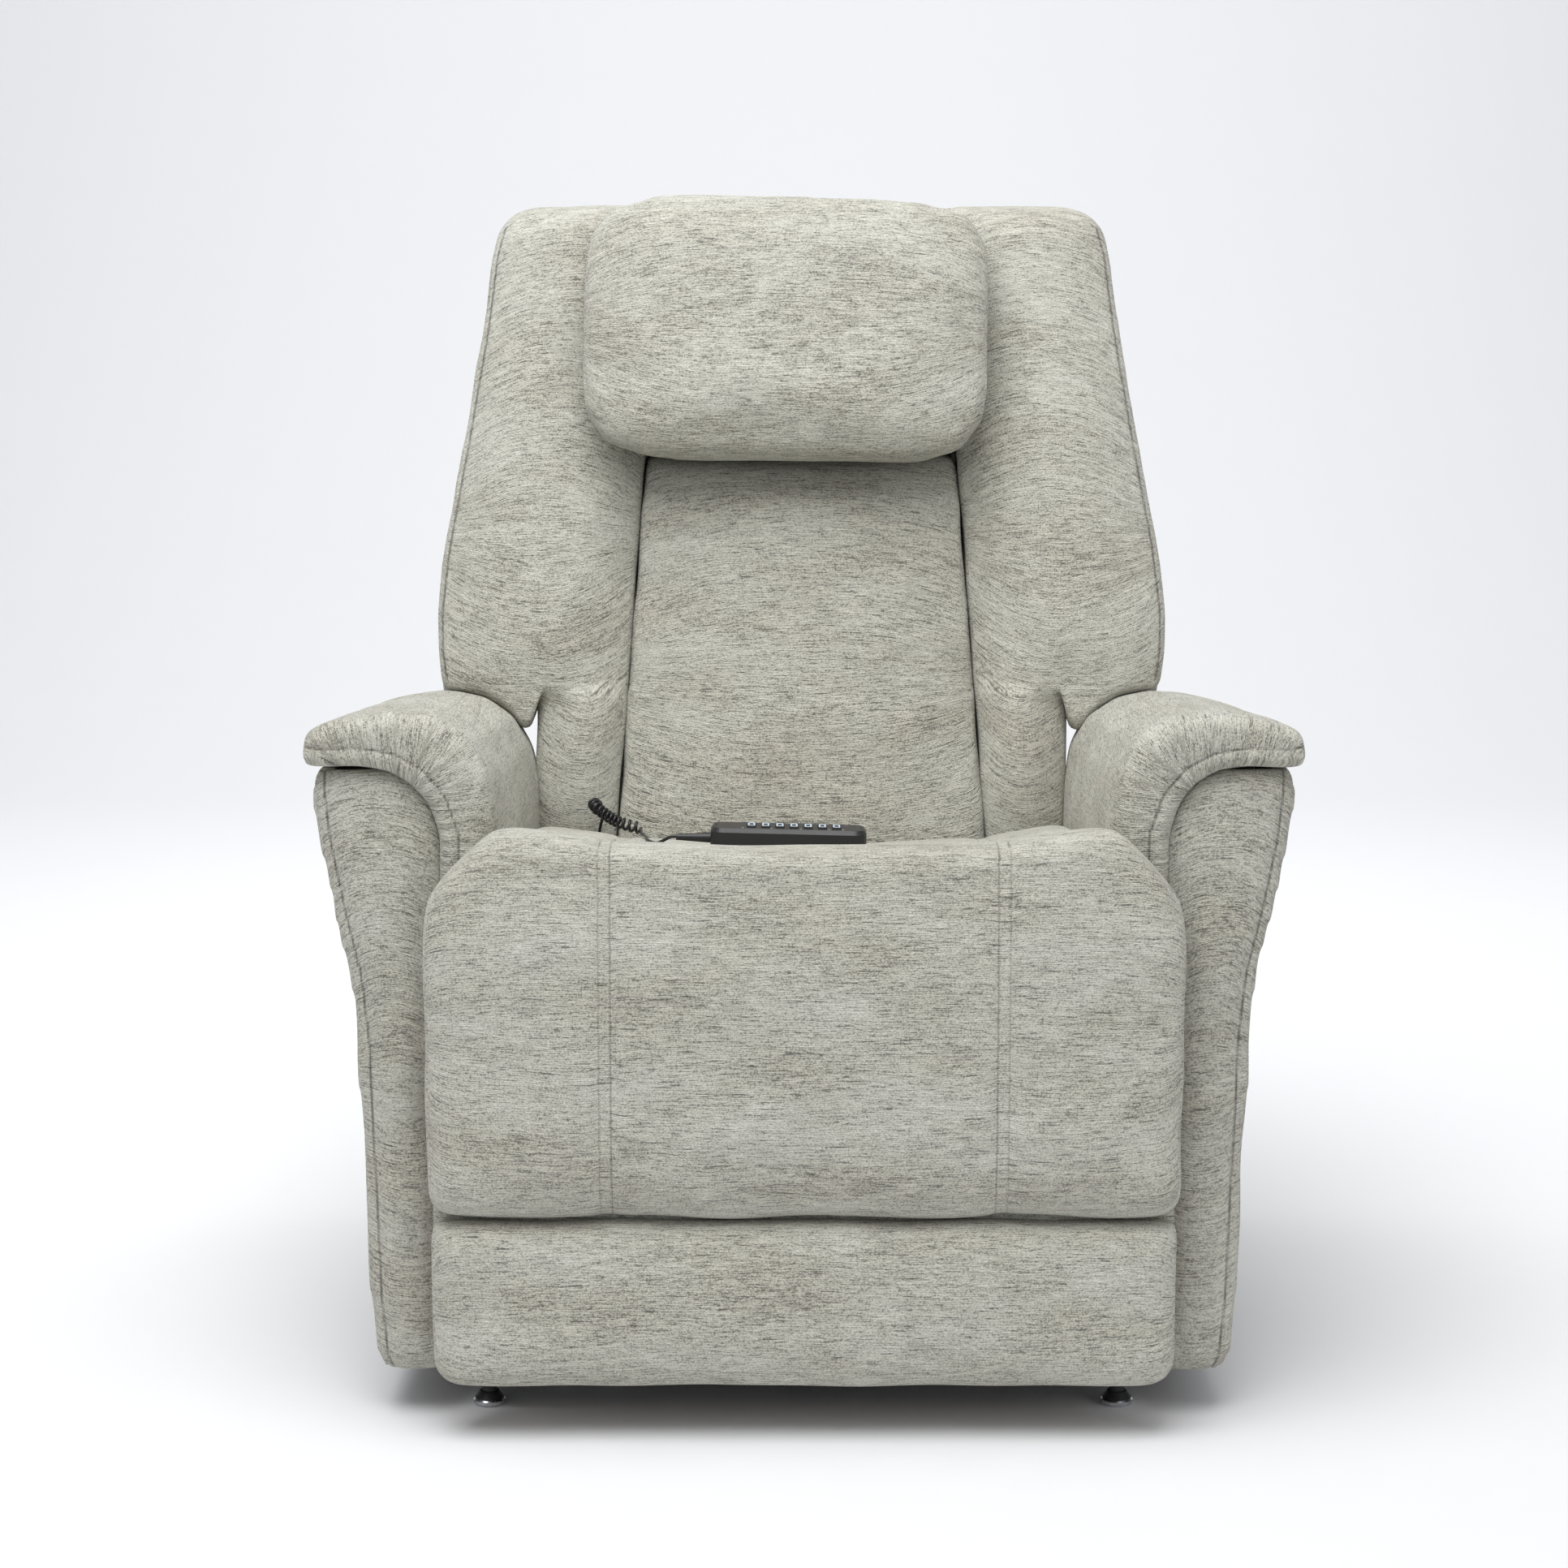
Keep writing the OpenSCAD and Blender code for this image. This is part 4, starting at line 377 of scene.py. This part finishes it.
# %% Lead route
def smooth_curve(points, steps):
    """A Catmull-Rom curve through points: each span is the cubic that leaves and reaches its
    ends along the line between their neighbours."""
    p = np.vstack([points[:1], points, points[-1:]])
    t = np.linspace(0, len(points) - 1, steps)
    i = np.minimum(t.astype(int), len(points) - 2)
    u = (t - i)[:, None]
    a, b, c, d = p[i], p[i + 1], p[i + 2], p[i + 3]
    return 0.5 * (2 * b + (c - a) * u + (2 * a - 5 * b + 4 * c - d) * u ** 2
                  + (3 * b - a - 3 * c + d) * u ** 3)


LEAD = 0.0032
CURLS, CURL_RADIUS = 16, 0.005
RELIEF_X = -0.109
RELIEF_Z = 0.0105
start = on_handset([[RELIEF_X + x, 0, RELIEF_Z] for x in (0.012, 0.005, -0.003)])
over = np.array([[-138, -196, 5], [-146, -180, 3.4], [-150, -155, 3.2], [-152, -120, 3.2],
                 [-155, -85, 3.2], [-158, -50, 3.2], [-160, -15, 3.2], [-162, 15, 3.2],
                 [-163, 36, 4.5]]) * MM
over[:, 2] += seat_height(over[:, 0], over[:, 1])
plain = smooth_curve(np.vstack([start, over, [[-0.1645, 0.050, 0.480]]]), 97)
axis_points = np.array([[-166, 60, 482], [-176, 63, 484], [-185.5, 66.5, 486], [-192, 69.5, 488.5],
                        [-198, 73, 491.5], [-204, 77, 495], [-210, 83, 498.5], [-214, 91, 501],
                        [-214, 100, 500.5], [-211.5, 108, 496], [-210, 112, 488]]) * MM


def unit(v):
    """Vectors scaled to length one."""
    return v / np.linalg.norm(v, axis=-1, keepdims=True)


turns = np.linspace(0, 1, CURLS * 20 + 1)
middle = smooth_curve(axis_points, len(turns))
heading = unit(np.gradient(middle, axis=0))
side = unit(np.cross(heading, [0.2, 0.1, 1.0]))
top = np.cross(heading, side)
angle = (2 * np.pi * CURLS * turns)[:, None]
helix = middle + CURL_RADIUS * (np.cos(angle) * side + np.sin(angle) * top)
tail = np.array([[-0.210, SEAT_BACK + 0.0045, 0.470], [-0.210, SEAT_BACK + 0.0045, 0.454]])
tail = np.vstack([(helix[-1] + tail[0]) / 2, tail[0], tail[0] - [0, 0, 0.004], tail[1]])
lead_path = np.vstack([plain[:-1], plain[-1:] + [-0.00005, 0.0003, 0],
                       plain[-1:] + [-0.00005, 0.0035, 0], helix, tail])

# %% Lead
curve = bpy.data.curves.new("handset_lead", "CURVE")
curve.dimensions = "3D"
curve.bevel_depth = LEAD / 2
curve.bevel_resolution = 3
curve.use_fill_caps = True
spline = curve.splines.new("POLY")
spline.points.add(len(lead_path) - 1)
spline.points.foreach_set("co", np.column_stack([lead_path, np.ones(len(lead_path))]).ravel())
spline.use_smooth = True
lead = bpy.data.objects.new("handset_lead", curve)
scene.collection.objects.link(lead)
curve.materials.append(JACKET)
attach(lead, "seat_frame")
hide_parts("handset_cord", "handset_curly_cord")

# %% [markdown]
# ## Soft pieces
# A padded piece starts as a copy of its solid from the frame. The copy is skinned again with
# even quads, eased so that no facet is left, and blown up a little as cloth under pressure.
# The simulation says where a pad crowns. How high it crowns is given for each pad,
# because the simulated cloth draws in at its seams. Rows of the weave are laid on at the end.

# %% Skin, ease and blow up
def points_of(mesh):
    """The vertices of a mesh as an array of places."""
    co = np.empty(len(mesh.vertices) * 3, np.float32)
    mesh.vertices.foreach_get("co", co)
    return co.reshape(-1, 3).astype(float)


def normals_of(mesh):
    """The vertex normals of a mesh."""
    no = np.empty(len(mesh.vertices) * 3, np.float32)
    mesh.vertex_normals.foreach_get("vector", no)
    return no.reshape(-1, 3).astype(float)


def move_to(mesh, points):
    """Puts the vertices of a mesh at new places."""
    mesh.vertices.foreach_set("co", np.asarray(points, np.float32).ravel())
    mesh.update()


def bake(obj):
    """Applies the modifiers of an object to its mesh."""
    graph = bpy.context.evaluated_depsgraph_get()
    mesh = bpy.data.meshes.new_from_object(obj.evaluated_get(graph))
    obj.modifiers.clear()
    old, obj.data = obj.data, mesh
    mesh.name = obj.name
    bpy.data.meshes.remove(old)


def skin(name, node_names, voxel=7.0, passes=8, extra=()):
    """One closed, eased skin over copies of solids of the frame and of extra meshes."""
    shell = bmesh.new()
    for source in [nodes[n].data for n in node_names] + list(extra):
        shell.from_mesh(source)
    bmesh.ops.remove_doubles(shell, verts=shell.verts, dist=1e-6)
    mesh = bpy.data.meshes.new(name)
    shell.to_mesh(mesh)
    shell.free()
    obj = add_object(name, mesh)
    remesh = obj.modifiers.new("skin", "REMESH")
    remesh.mode, remesh.voxel_size = "VOXEL", voxel * MM
    eased = obj.modifiers.new("ease", "SMOOTH")
    eased.factor, eased.iterations = 0.5, passes
    bake(obj)
    return obj


CLOTH_FRAMES = 20
CLOTH_PRESSURE = 4.0
FULL_CROWN = 0.75
SETTLE_PADDED, SETTLE_FLAT = 0.0009, 0.0004
SIDEWAYS = 0.85


def blow_up(obj, cap, hold=None, share=None):
    """Cloth under pressure without gravity. Points where hold is true stay. Of each step only
    the outward part counts: divided by three quarters of the largest one, held at 1, and
    times cap in millimetres. So the crown is cap high, however far the cloth went. share,
    from 0 to 1 for each point, makes it less."""
    before, outward = points_of(obj.data), normals_of(obj.data)
    cloth = obj.modifiers.new("cloth", "CLOTH")
    cloth.settings.quality = 3
    cloth.collision_settings.use_collision = False
    cloth.settings.use_pressure = True
    cloth.settings.uniform_pressure_force = CLOTH_PRESSURE
    cloth.settings.effector_weights.gravity = 0
    cloth.point_cache.frame_end = CLOTH_FRAMES
    if hold is not None:
        group = obj.vertex_groups.new(name="hold")
        group.add(np.flatnonzero(hold).tolist(), 1.0, "REPLACE")
        cloth.settings.vertex_group_mass = "hold"
    for number in range(1, CLOTH_FRAMES + 1):
        scene.frame_set(number)
    graph = bpy.context.evaluated_depsgraph_get()
    after = points_of(obj.evaluated_get(graph).data)
    obj.modifiers.clear()
    obj.vertex_groups.clear()
    rise = ((after - before) * outward).sum(1)
    kept = cap * MM * np.clip(rise / (FULL_CROWN * rise.max()), 0, 1) * (1 if share is None else share)
    move_to(obj.data, before + outward * kept[:, None])
    scene.frame_set(1)
    print(obj.name, "would rise by", round(float(rise.max()) / MM, 1), "mm, crowned to", cap)


def refine(obj):
    """One level of subdivision, applied."""
    level = obj.modifiers.new("refine", "SUBSURF")
    level.levels = level.render_levels = 1
    bake(obj)
    obj.data.polygons.foreach_set("use_smooth", np.ones(len(obj.data.polygons), bool))


def settle(p, size):
    """Soft unevenness of a filled cover: six sine waves 70 to 190 mm long that cross each
    other, up to size metres high."""
    ways = np.array([[9, 3, -7], [-5, 8, 11], [13, -4, 2], [3, 12, -6], [-9, -7, 10], [6, 2, 14]])
    starts = np.array([0.3, 1.7, 2.9, 4.1, 5.0, 0.9])
    return size * np.sin(p @ ways.T * 4.4 + starts).mean(1) * 2.2


# %% Lay the weave
def lay_weave(obj, rule, side_rule=None, seam=None):
    """Writes the weave attribute: rule gives metres along and across the weft for each
    vertex, and side_rule does so for faces that look sideways. seam gives each vertex its
    distance from the nearest sewn line."""
    mesh = obj.data
    points, count = points_of(mesh), len(mesh.loops)
    corner = np.empty(count, np.int32)
    mesh.loops.foreach_get("vertex_index", corner)
    offset = (sum(map(ord, obj.name)) % 17) * 0.37
    laid = np.zeros((count, 3))
    laid[:, :2] = np.stack(rule(points), 1)[corner]
    laid[:, 2] = offset
    if side_rule is not None:
        facing = np.empty(len(mesh.polygons) * 3, np.float32)
        mesh.polygons.foreach_get("normal", facing)
        totals = np.empty(len(mesh.polygons), np.int32)
        mesh.polygons.foreach_get("loop_total", totals)
        sideways = np.repeat(np.abs(facing.reshape(-1, 3)[:, 0]) > SIDEWAYS, totals)
        laid[sideways, :2] = np.stack(side_rule(points), 1)[corner][sideways]
    layer = mesh.attributes.new("weave", "FLOAT_VECTOR", "CORNER")
    layer.data.foreach_set("vector", laid.astype(np.float32).ravel())
    far = np.full(len(points), 1.0) if seam is None else seam(points)
    layer = mesh.attributes.new("seam", "FLOAT", "POINT")
    layer.data.foreach_set("value", far.astype(np.float32))
    mesh.materials.clear()
    mesh.materials.append(CLOTH)


BACK_LEAN = 0.205


def round_rule(p, lean):
    """Weft across, rows up the face, on over the top and back under the foot. lean is how
    far the face goes to the rear for each unit of height."""
    depth = p[:, 1] - lean * p[:, 2]
    turn = np.clip((p[:, 2] - 0.5 * (p[:, 2].min() + p[:, 2].max())) / 0.04, -1, 1)
    return p[:, 0], p[:, 2] * math.hypot(1, lean) + turn * (depth - np.percentile(depth, 5))


def front_rule(p):
    """Rows on an upright face."""
    return round_rule(p, 0.0)


def back_rule(p):
    """Rows on the leaning back."""
    return round_rule(p, BACK_LEAN)


def side_rule(p):
    """Weft along the chair on its sides, rows up."""
    return p[:, 1], p[:, 2]


# %% [markdown]
# ### Chaise
# Seat, front roll and leg pad share one cover. Its solid parts are joined by a roll that
# fills the hinge line.

# %% Front roll
CHAISE_HALF = 0.342


def roll_top(x):
    """Height of the roll: the seat's crest between the arms, then a shoulder that falls as a
    power of 1.15 towards the sides of the leg pad."""
    a = np.abs(x)
    inside = seat_height(np.minimum(a, 0.274), -0.400)
    outside = 0.563 - 0.067 * ramp01(a, 0.274, CHAISE_HALF) ** 1.15
    return np.where(a < 0.274, inside, np.minimum(inside, outside))


def front_roll():
    """Side view rings at places across the chair: up the front, over a crown of about 35 mm
    and down behind, drawn in at the sides by a quarter circle."""
    x = CHAISE_HALF * np.sin(np.linspace(-1, 1, 61) * np.pi / 2)
    pulled = ramp01(np.abs(x), CHAISE_HALF - 0.014, CHAISE_HALF)
    shy = 0.016 * (1 - np.sqrt(1 - pulled ** 2))
    high = roll_top(x) - shy - 0.001
    rear = np.where(np.abs(x) > 0.272, -0.383, -0.372) - shy
    front = -0.4405 + shy
    rows = [(front, 0.415), (front, 0.44), (front, 0.47), (front, high - 0.045),
            (front + 0.002, high - 0.028), (front + 0.009, high - 0.011), (front + 0.022, high - 0.002),
            (front + 0.038, high), (rear, high - 0.001), (rear, high - 0.02), (rear, 0.47),
            (rear, 0.415)]
    ring = np.stack([np.stack([x, y + 0 * x, z + 0 * x], 1) for y, z in rows], 1)
    faces = grid_faces(len(x), len(rows), ring=True).tolist()
    last = (len(x) - 1) * len(rows)
    faces += [list(range(len(rows)))[::-1], [last + k for k in range(len(rows))]]
    return mesh_from("front_roll", ring.reshape(-1, 3), faces)


chaise = skin("chaise", ["seat_cushion", "chaise_pad", "chaise_shoulders"], voxel=7.5, passes=6,
              extra=[front_roll()])
p = points_of(chaise.data)
blow_up(chaise, 8, hold=(p[:, 2] < 0.50) & (p[:, 1] > -0.385) | (p[:, 1] > 0.0),
        share=1 - 0.95 * ramp01(p[:, 2], 0.47, 0.525))
p = points_of(chaise.data)
crest = ease(ramp01(p[:, 2], 0.500, 0.535)) * (1 - ease(ramp01(p[:, 1], -0.335, -0.270)))
p[:, 2] -= 0.0065 * np.exp(-(p[:, 0] / 0.24) ** 6) * crest
foot = 1 - ease(ramp01(p[:, 2], 0.203, 0.275))
p[:, 2] += 0.0022 * np.sin(2 * np.pi * p[:, 0] / 0.17 + 0.9) * foot * (p[:, 1] < -0.37)
move_to(chaise.data, p)
refine(chaise)
SEWN = (0.1735, 0.1825)
SEWN_MIDDLE = 0.178
p, n = points_of(chaise.data), normals_of(chaise.data)
off = np.abs(p[:, 0]) - SEWN_MIDDLE
dip = 0.0024 * np.exp(-(off / 0.009) ** 2)
dip -= 0.0011 * np.exp(-(off / 0.003) ** 2)
move_to(chaise.data, p + n * (settle(p, SETTLE_PADDED) - dip)[:, None])


def chaise_seams(p):
    """Distance from the two stitched rows on each side of the middle panel."""
    a = np.abs(p[:, 0])
    return np.minimum(np.abs(a - SEWN[0]), np.abs(a - SEWN[1]))


lay_weave(chaise, front_rule, side_rule, chaise_seams)
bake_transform(chaise)
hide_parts("seat_cushion", "chaise_shoulders", "chaise_pad")
print("chaise:", len(chaise.data.polygons), "faces")


# %% Other pads and covers
def soft(name, node_names, body, rule=back_rule, voxel=7.0, passes=8, cap=5, seam=None,
         sides=side_rule, shape=None, detail=None, fine=True):
    """A padded piece from solids of the frame: skin, own shaping, pressure, refinement, weave
    and rider."""
    obj = skin(name, node_names, voxel, passes)
    if shape is not None:
        move_to(obj.data, shape(points_of(obj.data)))
    if cap:
        blow_up(obj, cap)
    if fine:
        refine(obj)
    p, n = points_of(obj.data), normals_of(obj.data)
    rise = settle(p, SETTLE_PADDED if cap else SETTLE_FLAT)
    if detail is not None:
        rise = rise + detail(p)
    move_to(obj.data, p + n * rise[:, None])
    lay_weave(obj, rule, sides, seam)
    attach(obj, body)
    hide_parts(*node_names)
    print(name + ":", len(obj.data.polygons), "faces")


ARM_LINE = np.array([[278, 332], [278, 430], [278, 505], [279, 560], [284, 604], [300, 636],
                     [330, 656], [366, 662], [400, 659], [431, 651], [449, 643], [455, 629]]) * MM


def arm_top(x, y):
    """Height of an arm's top: its outline at the front, less a fall towards the rear that is
    56 mm at full height."""
    line = ARM_LINE[2:]
    high = np.interp(np.abs(x), line[:, 0], line[:, 1])
    return high - 0.056 * ramp01(y, -0.378, 0.208) * ramp01(high, 0.332, 0.600)


def wing_hang(p):
    """The wings' lower edge sags: to 5 mm above the arm, and lower still behind it. Between
    the arms the back swells by 6 mm and fills the gap beside them."""
    low = 1 - ease(ramp01(p[:, 2], 0.614, 0.72))
    out = ease(ramp01(np.abs(p[:, 0]), 0.271, 0.282)) * (p[:, 2] > 0.600)
    behind = ease(ramp01(p[:, 1], 0.208, 0.226))
    over = np.clip(0.612 - arm_top(p[:, 0], p[:, 1]), 0.004, 0.040)
    inner = ramp01(np.abs(p[:, 0]), 0.252, 0.268) * (1 - ease(ramp01(p[:, 2], 0.602, 0.616)))
    moved = p.copy()
    moved[:, 2] -= low * out * np.maximum(over, 0.030 * behind)
    moved[:, 0] += np.sign(p[:, 0]) * 0.0062 * inner
    return moved


WING = np.array([[0.602, 0.372], [0.617, 0.378], [0.650, 0.383], [0.690, 0.384], [0.760, 0.376],
                 [0.860, 0.358], [0.980, 0.338], [1.060, 0.328], [1.088, 0.321], [1.112, 0.290]])
WING_ROW = 0.007


def wing_seam(p):
    """Distance from the row sewn 7 mm inside the wing's outer edge."""
    edge = np.interp(p[:, 2], WING[:, 0], WING[:, 1])
    gap = np.abs(edge - WING_ROW - np.abs(p[:, 0]))
    return np.where((p[:, 2] > 0.62) & (p[:, 2] < 1.095), gap, 1.0)


soft("leg_pad_low", ["footrest_lower_pad"], "footrest", front_rule, cap=5)
soft("lumbar_pad", ["back_cushion"], "back", cap=7)
soft("shoulder_pad", ["back_top_cushion"], "back", cap=5)
soft("head_pillow_cover", ["head_pillow"], "headrest", voxel=6.0, cap=6)
for hand in ("left", "right"):
    soft("bolster_cover_" + hand, ["bolster_" + hand], "back", cap=9, seam=wing_seam, shape=wing_hang)

# %% [markdown]
# ### Arms
# Each arm has a padded top that rolls over the front, a padded front panel below it and a
# flat outer panel. On the roll the weft runs from front to back, so its rows follow the
# outline of the arm.

# %% Arm outline
ARM_UNDER = np.array([[329, 332], [329, 430], [329, 505], [329, 548], [339, 578], [355, 597],
                      [375, 608], [401, 612], [421, 611.5], [441, 611], [450, 613]]) * MM
ARM_FACE = np.array([[0.040, 0.391], [0.058, 0.397], [0.115, 0.402], [0.192, 0.404], [0.269, 0.407],
                     [0.353, 0.409], [0.421, 0.416], [0.473, 0.428], [0.540, 0.441], [0.589, 0.446]])
ROLL_ROW, PANEL_ROW = 0.017, 0.012


def along_outline(p, line):
    """For each point its distance from the line, seen from the front, and the length of line
    up to the nearest place on it."""
    q = np.stack([np.abs(p[:, 0]), p[:, 2]], 1)[:, None, :]
    a, d = line[:-1][None], np.diff(line, axis=0)[None]
    t = np.clip(((q - a) * d).sum(-1) / (d * d).sum(-1), 0, 1)
    gap = np.linalg.norm(q - a - t[..., None] * d, axis=-1)
    spans = np.linalg.norm(np.diff(line, axis=0), axis=1)
    passed = np.concatenate([[0], np.cumsum(spans)[:-1]])[None] + t * spans[None]
    best = gap.argmin(1)
    rows = np.arange(len(p))
    return gap[rows, best], passed[rows, best]


def arm_rule(p):
    """Weft from front to back, and inwards on the face of the roll; rows round the outline
    and on down the outer lip."""
    gap, passed = along_outline(p, ARM_LINE)
    lip = ramp01(np.abs(p[:, 0]), 0.440, 0.450)
    rest = ramp01(p[:, 1], -0.352, -0.340)
    return p[:, 1] - gap * (1 - lip) * (1 - rest), passed + gap * lip


def tuck_under(p):
    """The front panel's upper edge reaches up to a millimetre from the underside of the
    roll: points near it go four fifths of the way."""
    gap, passed = along_outline(p, ARM_UNDER)
    spans = np.linalg.norm(np.diff(ARM_UNDER, axis=0), axis=1)
    length = np.concatenate([[0], np.cumsum(spans)])
    share = 0.8 * (1 - ease(ramp01(gap, 0.004, 0.016)))
    moved = p.copy()
    moved[:, 0] += share * (np.interp(passed, length, ARM_UNDER[:, 0]) * np.sign(p[:, 0]) - p[:, 0])
    moved[:, 2] += share * (np.interp(passed, length, ARM_UNDER[:, 1]) - p[:, 2])
    return moved


def roll_seam(p):
    """Distance from the row sewn 17 mm above the lower edge of the roll's face."""
    gap = along_outline(p, ARM_UNDER)[0]
    return np.where(p[:, 1] < -0.340, np.abs(gap - ROLL_ROW), 1.0)


def roll_puckers(p):
    """The sewn row draws the roll in by 1.6 mm, and gathers stand across it every 11 mm."""
    gap, passed = along_outline(p, ARM_UNDER)
    near = np.exp(-((gap - ROLL_ROW) / 0.008) ** 2) * (p[:, 1] < -0.340)
    fold = np.sin(2 * np.pi * passed / 0.011 + 2.2 * np.sin(passed * 47)) * (gap > 0.004)
    wide = np.exp(-((gap - 0.020) / 0.016) ** 2) * (p[:, 1] < -0.335)
    return 0.0007 * fold * wide - 0.0016 * near


def from_panel_row(p):
    """Distance outwards to the row sewn 12 mm inside the panel's outer edge."""
    return np.interp(p[:, 2], ARM_FACE[:, 0], ARM_FACE[:, 1]) - PANEL_ROW - np.abs(p[:, 0])


def front_panel_dip(p):
    """The row near the panel's outer edge draws it in by a millimetre."""
    return -0.0011 * np.exp(-(from_panel_row(p) / 0.005) ** 2) * (p[:, 1] < -0.350)


def front_panel_rule(p):
    """Weft across the panel, arched: a row lies higher in the middle by a square."""
    a = np.abs(p[:, 0]) - 0.385
    across, up = front_rule(p)
    return across, up + 3.0 * a * a


def front_panel_seam(p):
    """Distance from the panel's row, on its front only."""
    return np.where(p[:, 1] < -0.350, np.abs(from_panel_row(p)), 1.0)


for hand in ("left", "right"):
    soft("arm_pad_cover_" + hand, ["arm_pad_" + hand], "seat_frame", arm_rule, voxel=6.0, passes=5,
         cap=5, seam=roll_seam, sides=None, detail=roll_puckers)
    soft("arm_front_cover_" + hand, ["arm_front_" + hand], "seat_frame", front_panel_rule, voxel=6.0,
         passes=3, cap=4, seam=front_panel_seam, shape=tuck_under, detail=front_panel_dip)
    soft("arm_side_cover_" + hand, ["arm_outer_" + hand], "seat_frame", side_rule, voxel=6.0,
         passes=3, cap=0, sides=side_rule, fine=False)
soft("outside_back", ["back_cover"], "back", voxel=5.0, passes=4, cap=0, shape=wing_hang,
     fine=False)
soft("rear_skirt_cover", ["rear_skirt"], "seat_frame", front_rule, voxel=5.0, passes=3, cap=0,
     fine=False)


# %% Flap between the leg pads
def flap():
    """A strip of cover behind the gap of the two leg pads: a shallow arch in side view,
    1.2 mm thick, given by its place across and its place up."""
    x = np.linspace(-0.337, 0.337, 46)[:, None]
    t = np.linspace(0, 1, 9)[None, :]
    z = 0.178 + 0.050 * t + 0 * x
    arch = -0.4005 - 0.004 * np.sin(np.pi * t) + 0.0008 * np.sin(x * 70 + 5 * t)
    front = np.stack([x + 0 * t, arch, z], -1)
    rear = front + [0, 0.0012, 0]
    ring = np.concatenate([front, rear[:, ::-1]], 1)
    faces = grid_faces(46, 18, ring=True).tolist()
    faces += [list(range(18))[::-1], [45 * 18 + k for k in range(18)]]
    return mesh_from("leg_pad_flap", ring.reshape(-1, 3), faces)


leg_flap = add_object("leg_pad_flap", flap())
lay_weave(leg_flap, front_rule)
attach(leg_flap, "footrest")

# %% [markdown]
# ### Handset prints
# Pale symbols are printed on the keys, and small dots beside them. A print is a thin ring or
# disc that is let down on the key along the handset's own upward direction.

# %% Prints
PRINT = plain_finish("ice_print", (0.50, 0.60, 0.70), 0.45, grain=1800, depth=0.00001, mottle=0.06)
DOT = plain_finish("pale_dot", (0.72, 0.72, 0.74), 0.45, grain=1800, depth=0.00001, mottle=0.05)
handset_up = (on_handset([[0, 0, 1]]) - on_handset([[0, 0, 0]]))[0]


def let_down(names, places, lift):
    """Handset places let down on nodes of the frame, then lifted by so many metres."""
    corners, faces = [], []
    for name in names:
        mesh = nodes[name].data
        faces += [[k + len(corners) for k in f.vertices] for f in mesh.polygons]
        corners += points_of(mesh).tolist()
    tree = BVHTree.FromPolygons(corners, faces)
    high = on_handset(np.column_stack([places, np.full(len(places), 0.06)]))
    hits = [tree.ray_cast(Vector(h), Vector(-handset_up))[0] for h in high]
    return np.array([np.array(hit) if hit else h for hit, h in zip(hits, high)]) + handset_up * lift


def rounded(angles, half_x, half_y):
    """A rounded rectangle: cosine and sine to the power 0.35, with their signs."""
    c, s = np.cos(angles), np.sin(angles)
    return np.stack([half_x * np.sign(c) * np.abs(c) ** 0.35, half_y * np.sign(s) * np.abs(s) ** 0.35], 1)


def print_ring(name, names, middle, outer, inner, shift, finish_of, body):
    """A printed ring between an outer and an inner rounded rectangle, 0.12 mm proud."""
    angles = np.arange(28) * 2 * np.pi / 28
    rings = [rounded(angles, *outer) * f + (1 - f) * (rounded(angles, *inner) + [0, shift])
             for f in (1.0, 0.66, 0.33, 0.0)]
    flat = np.vstack([r + middle for r in rings])
    obj = add_object(name, mesh_from(name, let_down(names, flat, 0.00012), grid_faces(4, 28, ring=True)))
    obj.data.materials.append(finish_of)
    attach(obj, body)


KEYS, KEY_PITCH, MIDDLE_KEY_X = 7, 0.0135, 0.005
for number in range(KEYS):
    key_x = MIDDLE_KEY_X + (number - KEYS // 2) * KEY_PITCH
    key = "key_%d" % (number + 1)
    print_ring("print_" + key, [key], [key_x, 0], (0.0034, 0.0105), (0.0020, 0.0050), 0.0028, PRINT,
               "rocker_%d" % (number + 1))
for number, dot_x in enumerate((-0.0435, -0.0165, 0.0115, 0.038, 0.0515)):
    print_ring("dot_%d" % (number + 1), ["handset_face"], [dot_x, -0.0165], (0.0009, 0.0009),
               (0.0001, 0.0001), 0, DOT, "seat_frame")
print("prints: 7 symbols and 5 dots")

# %% Update the scene
bpy.context.view_layer.update()
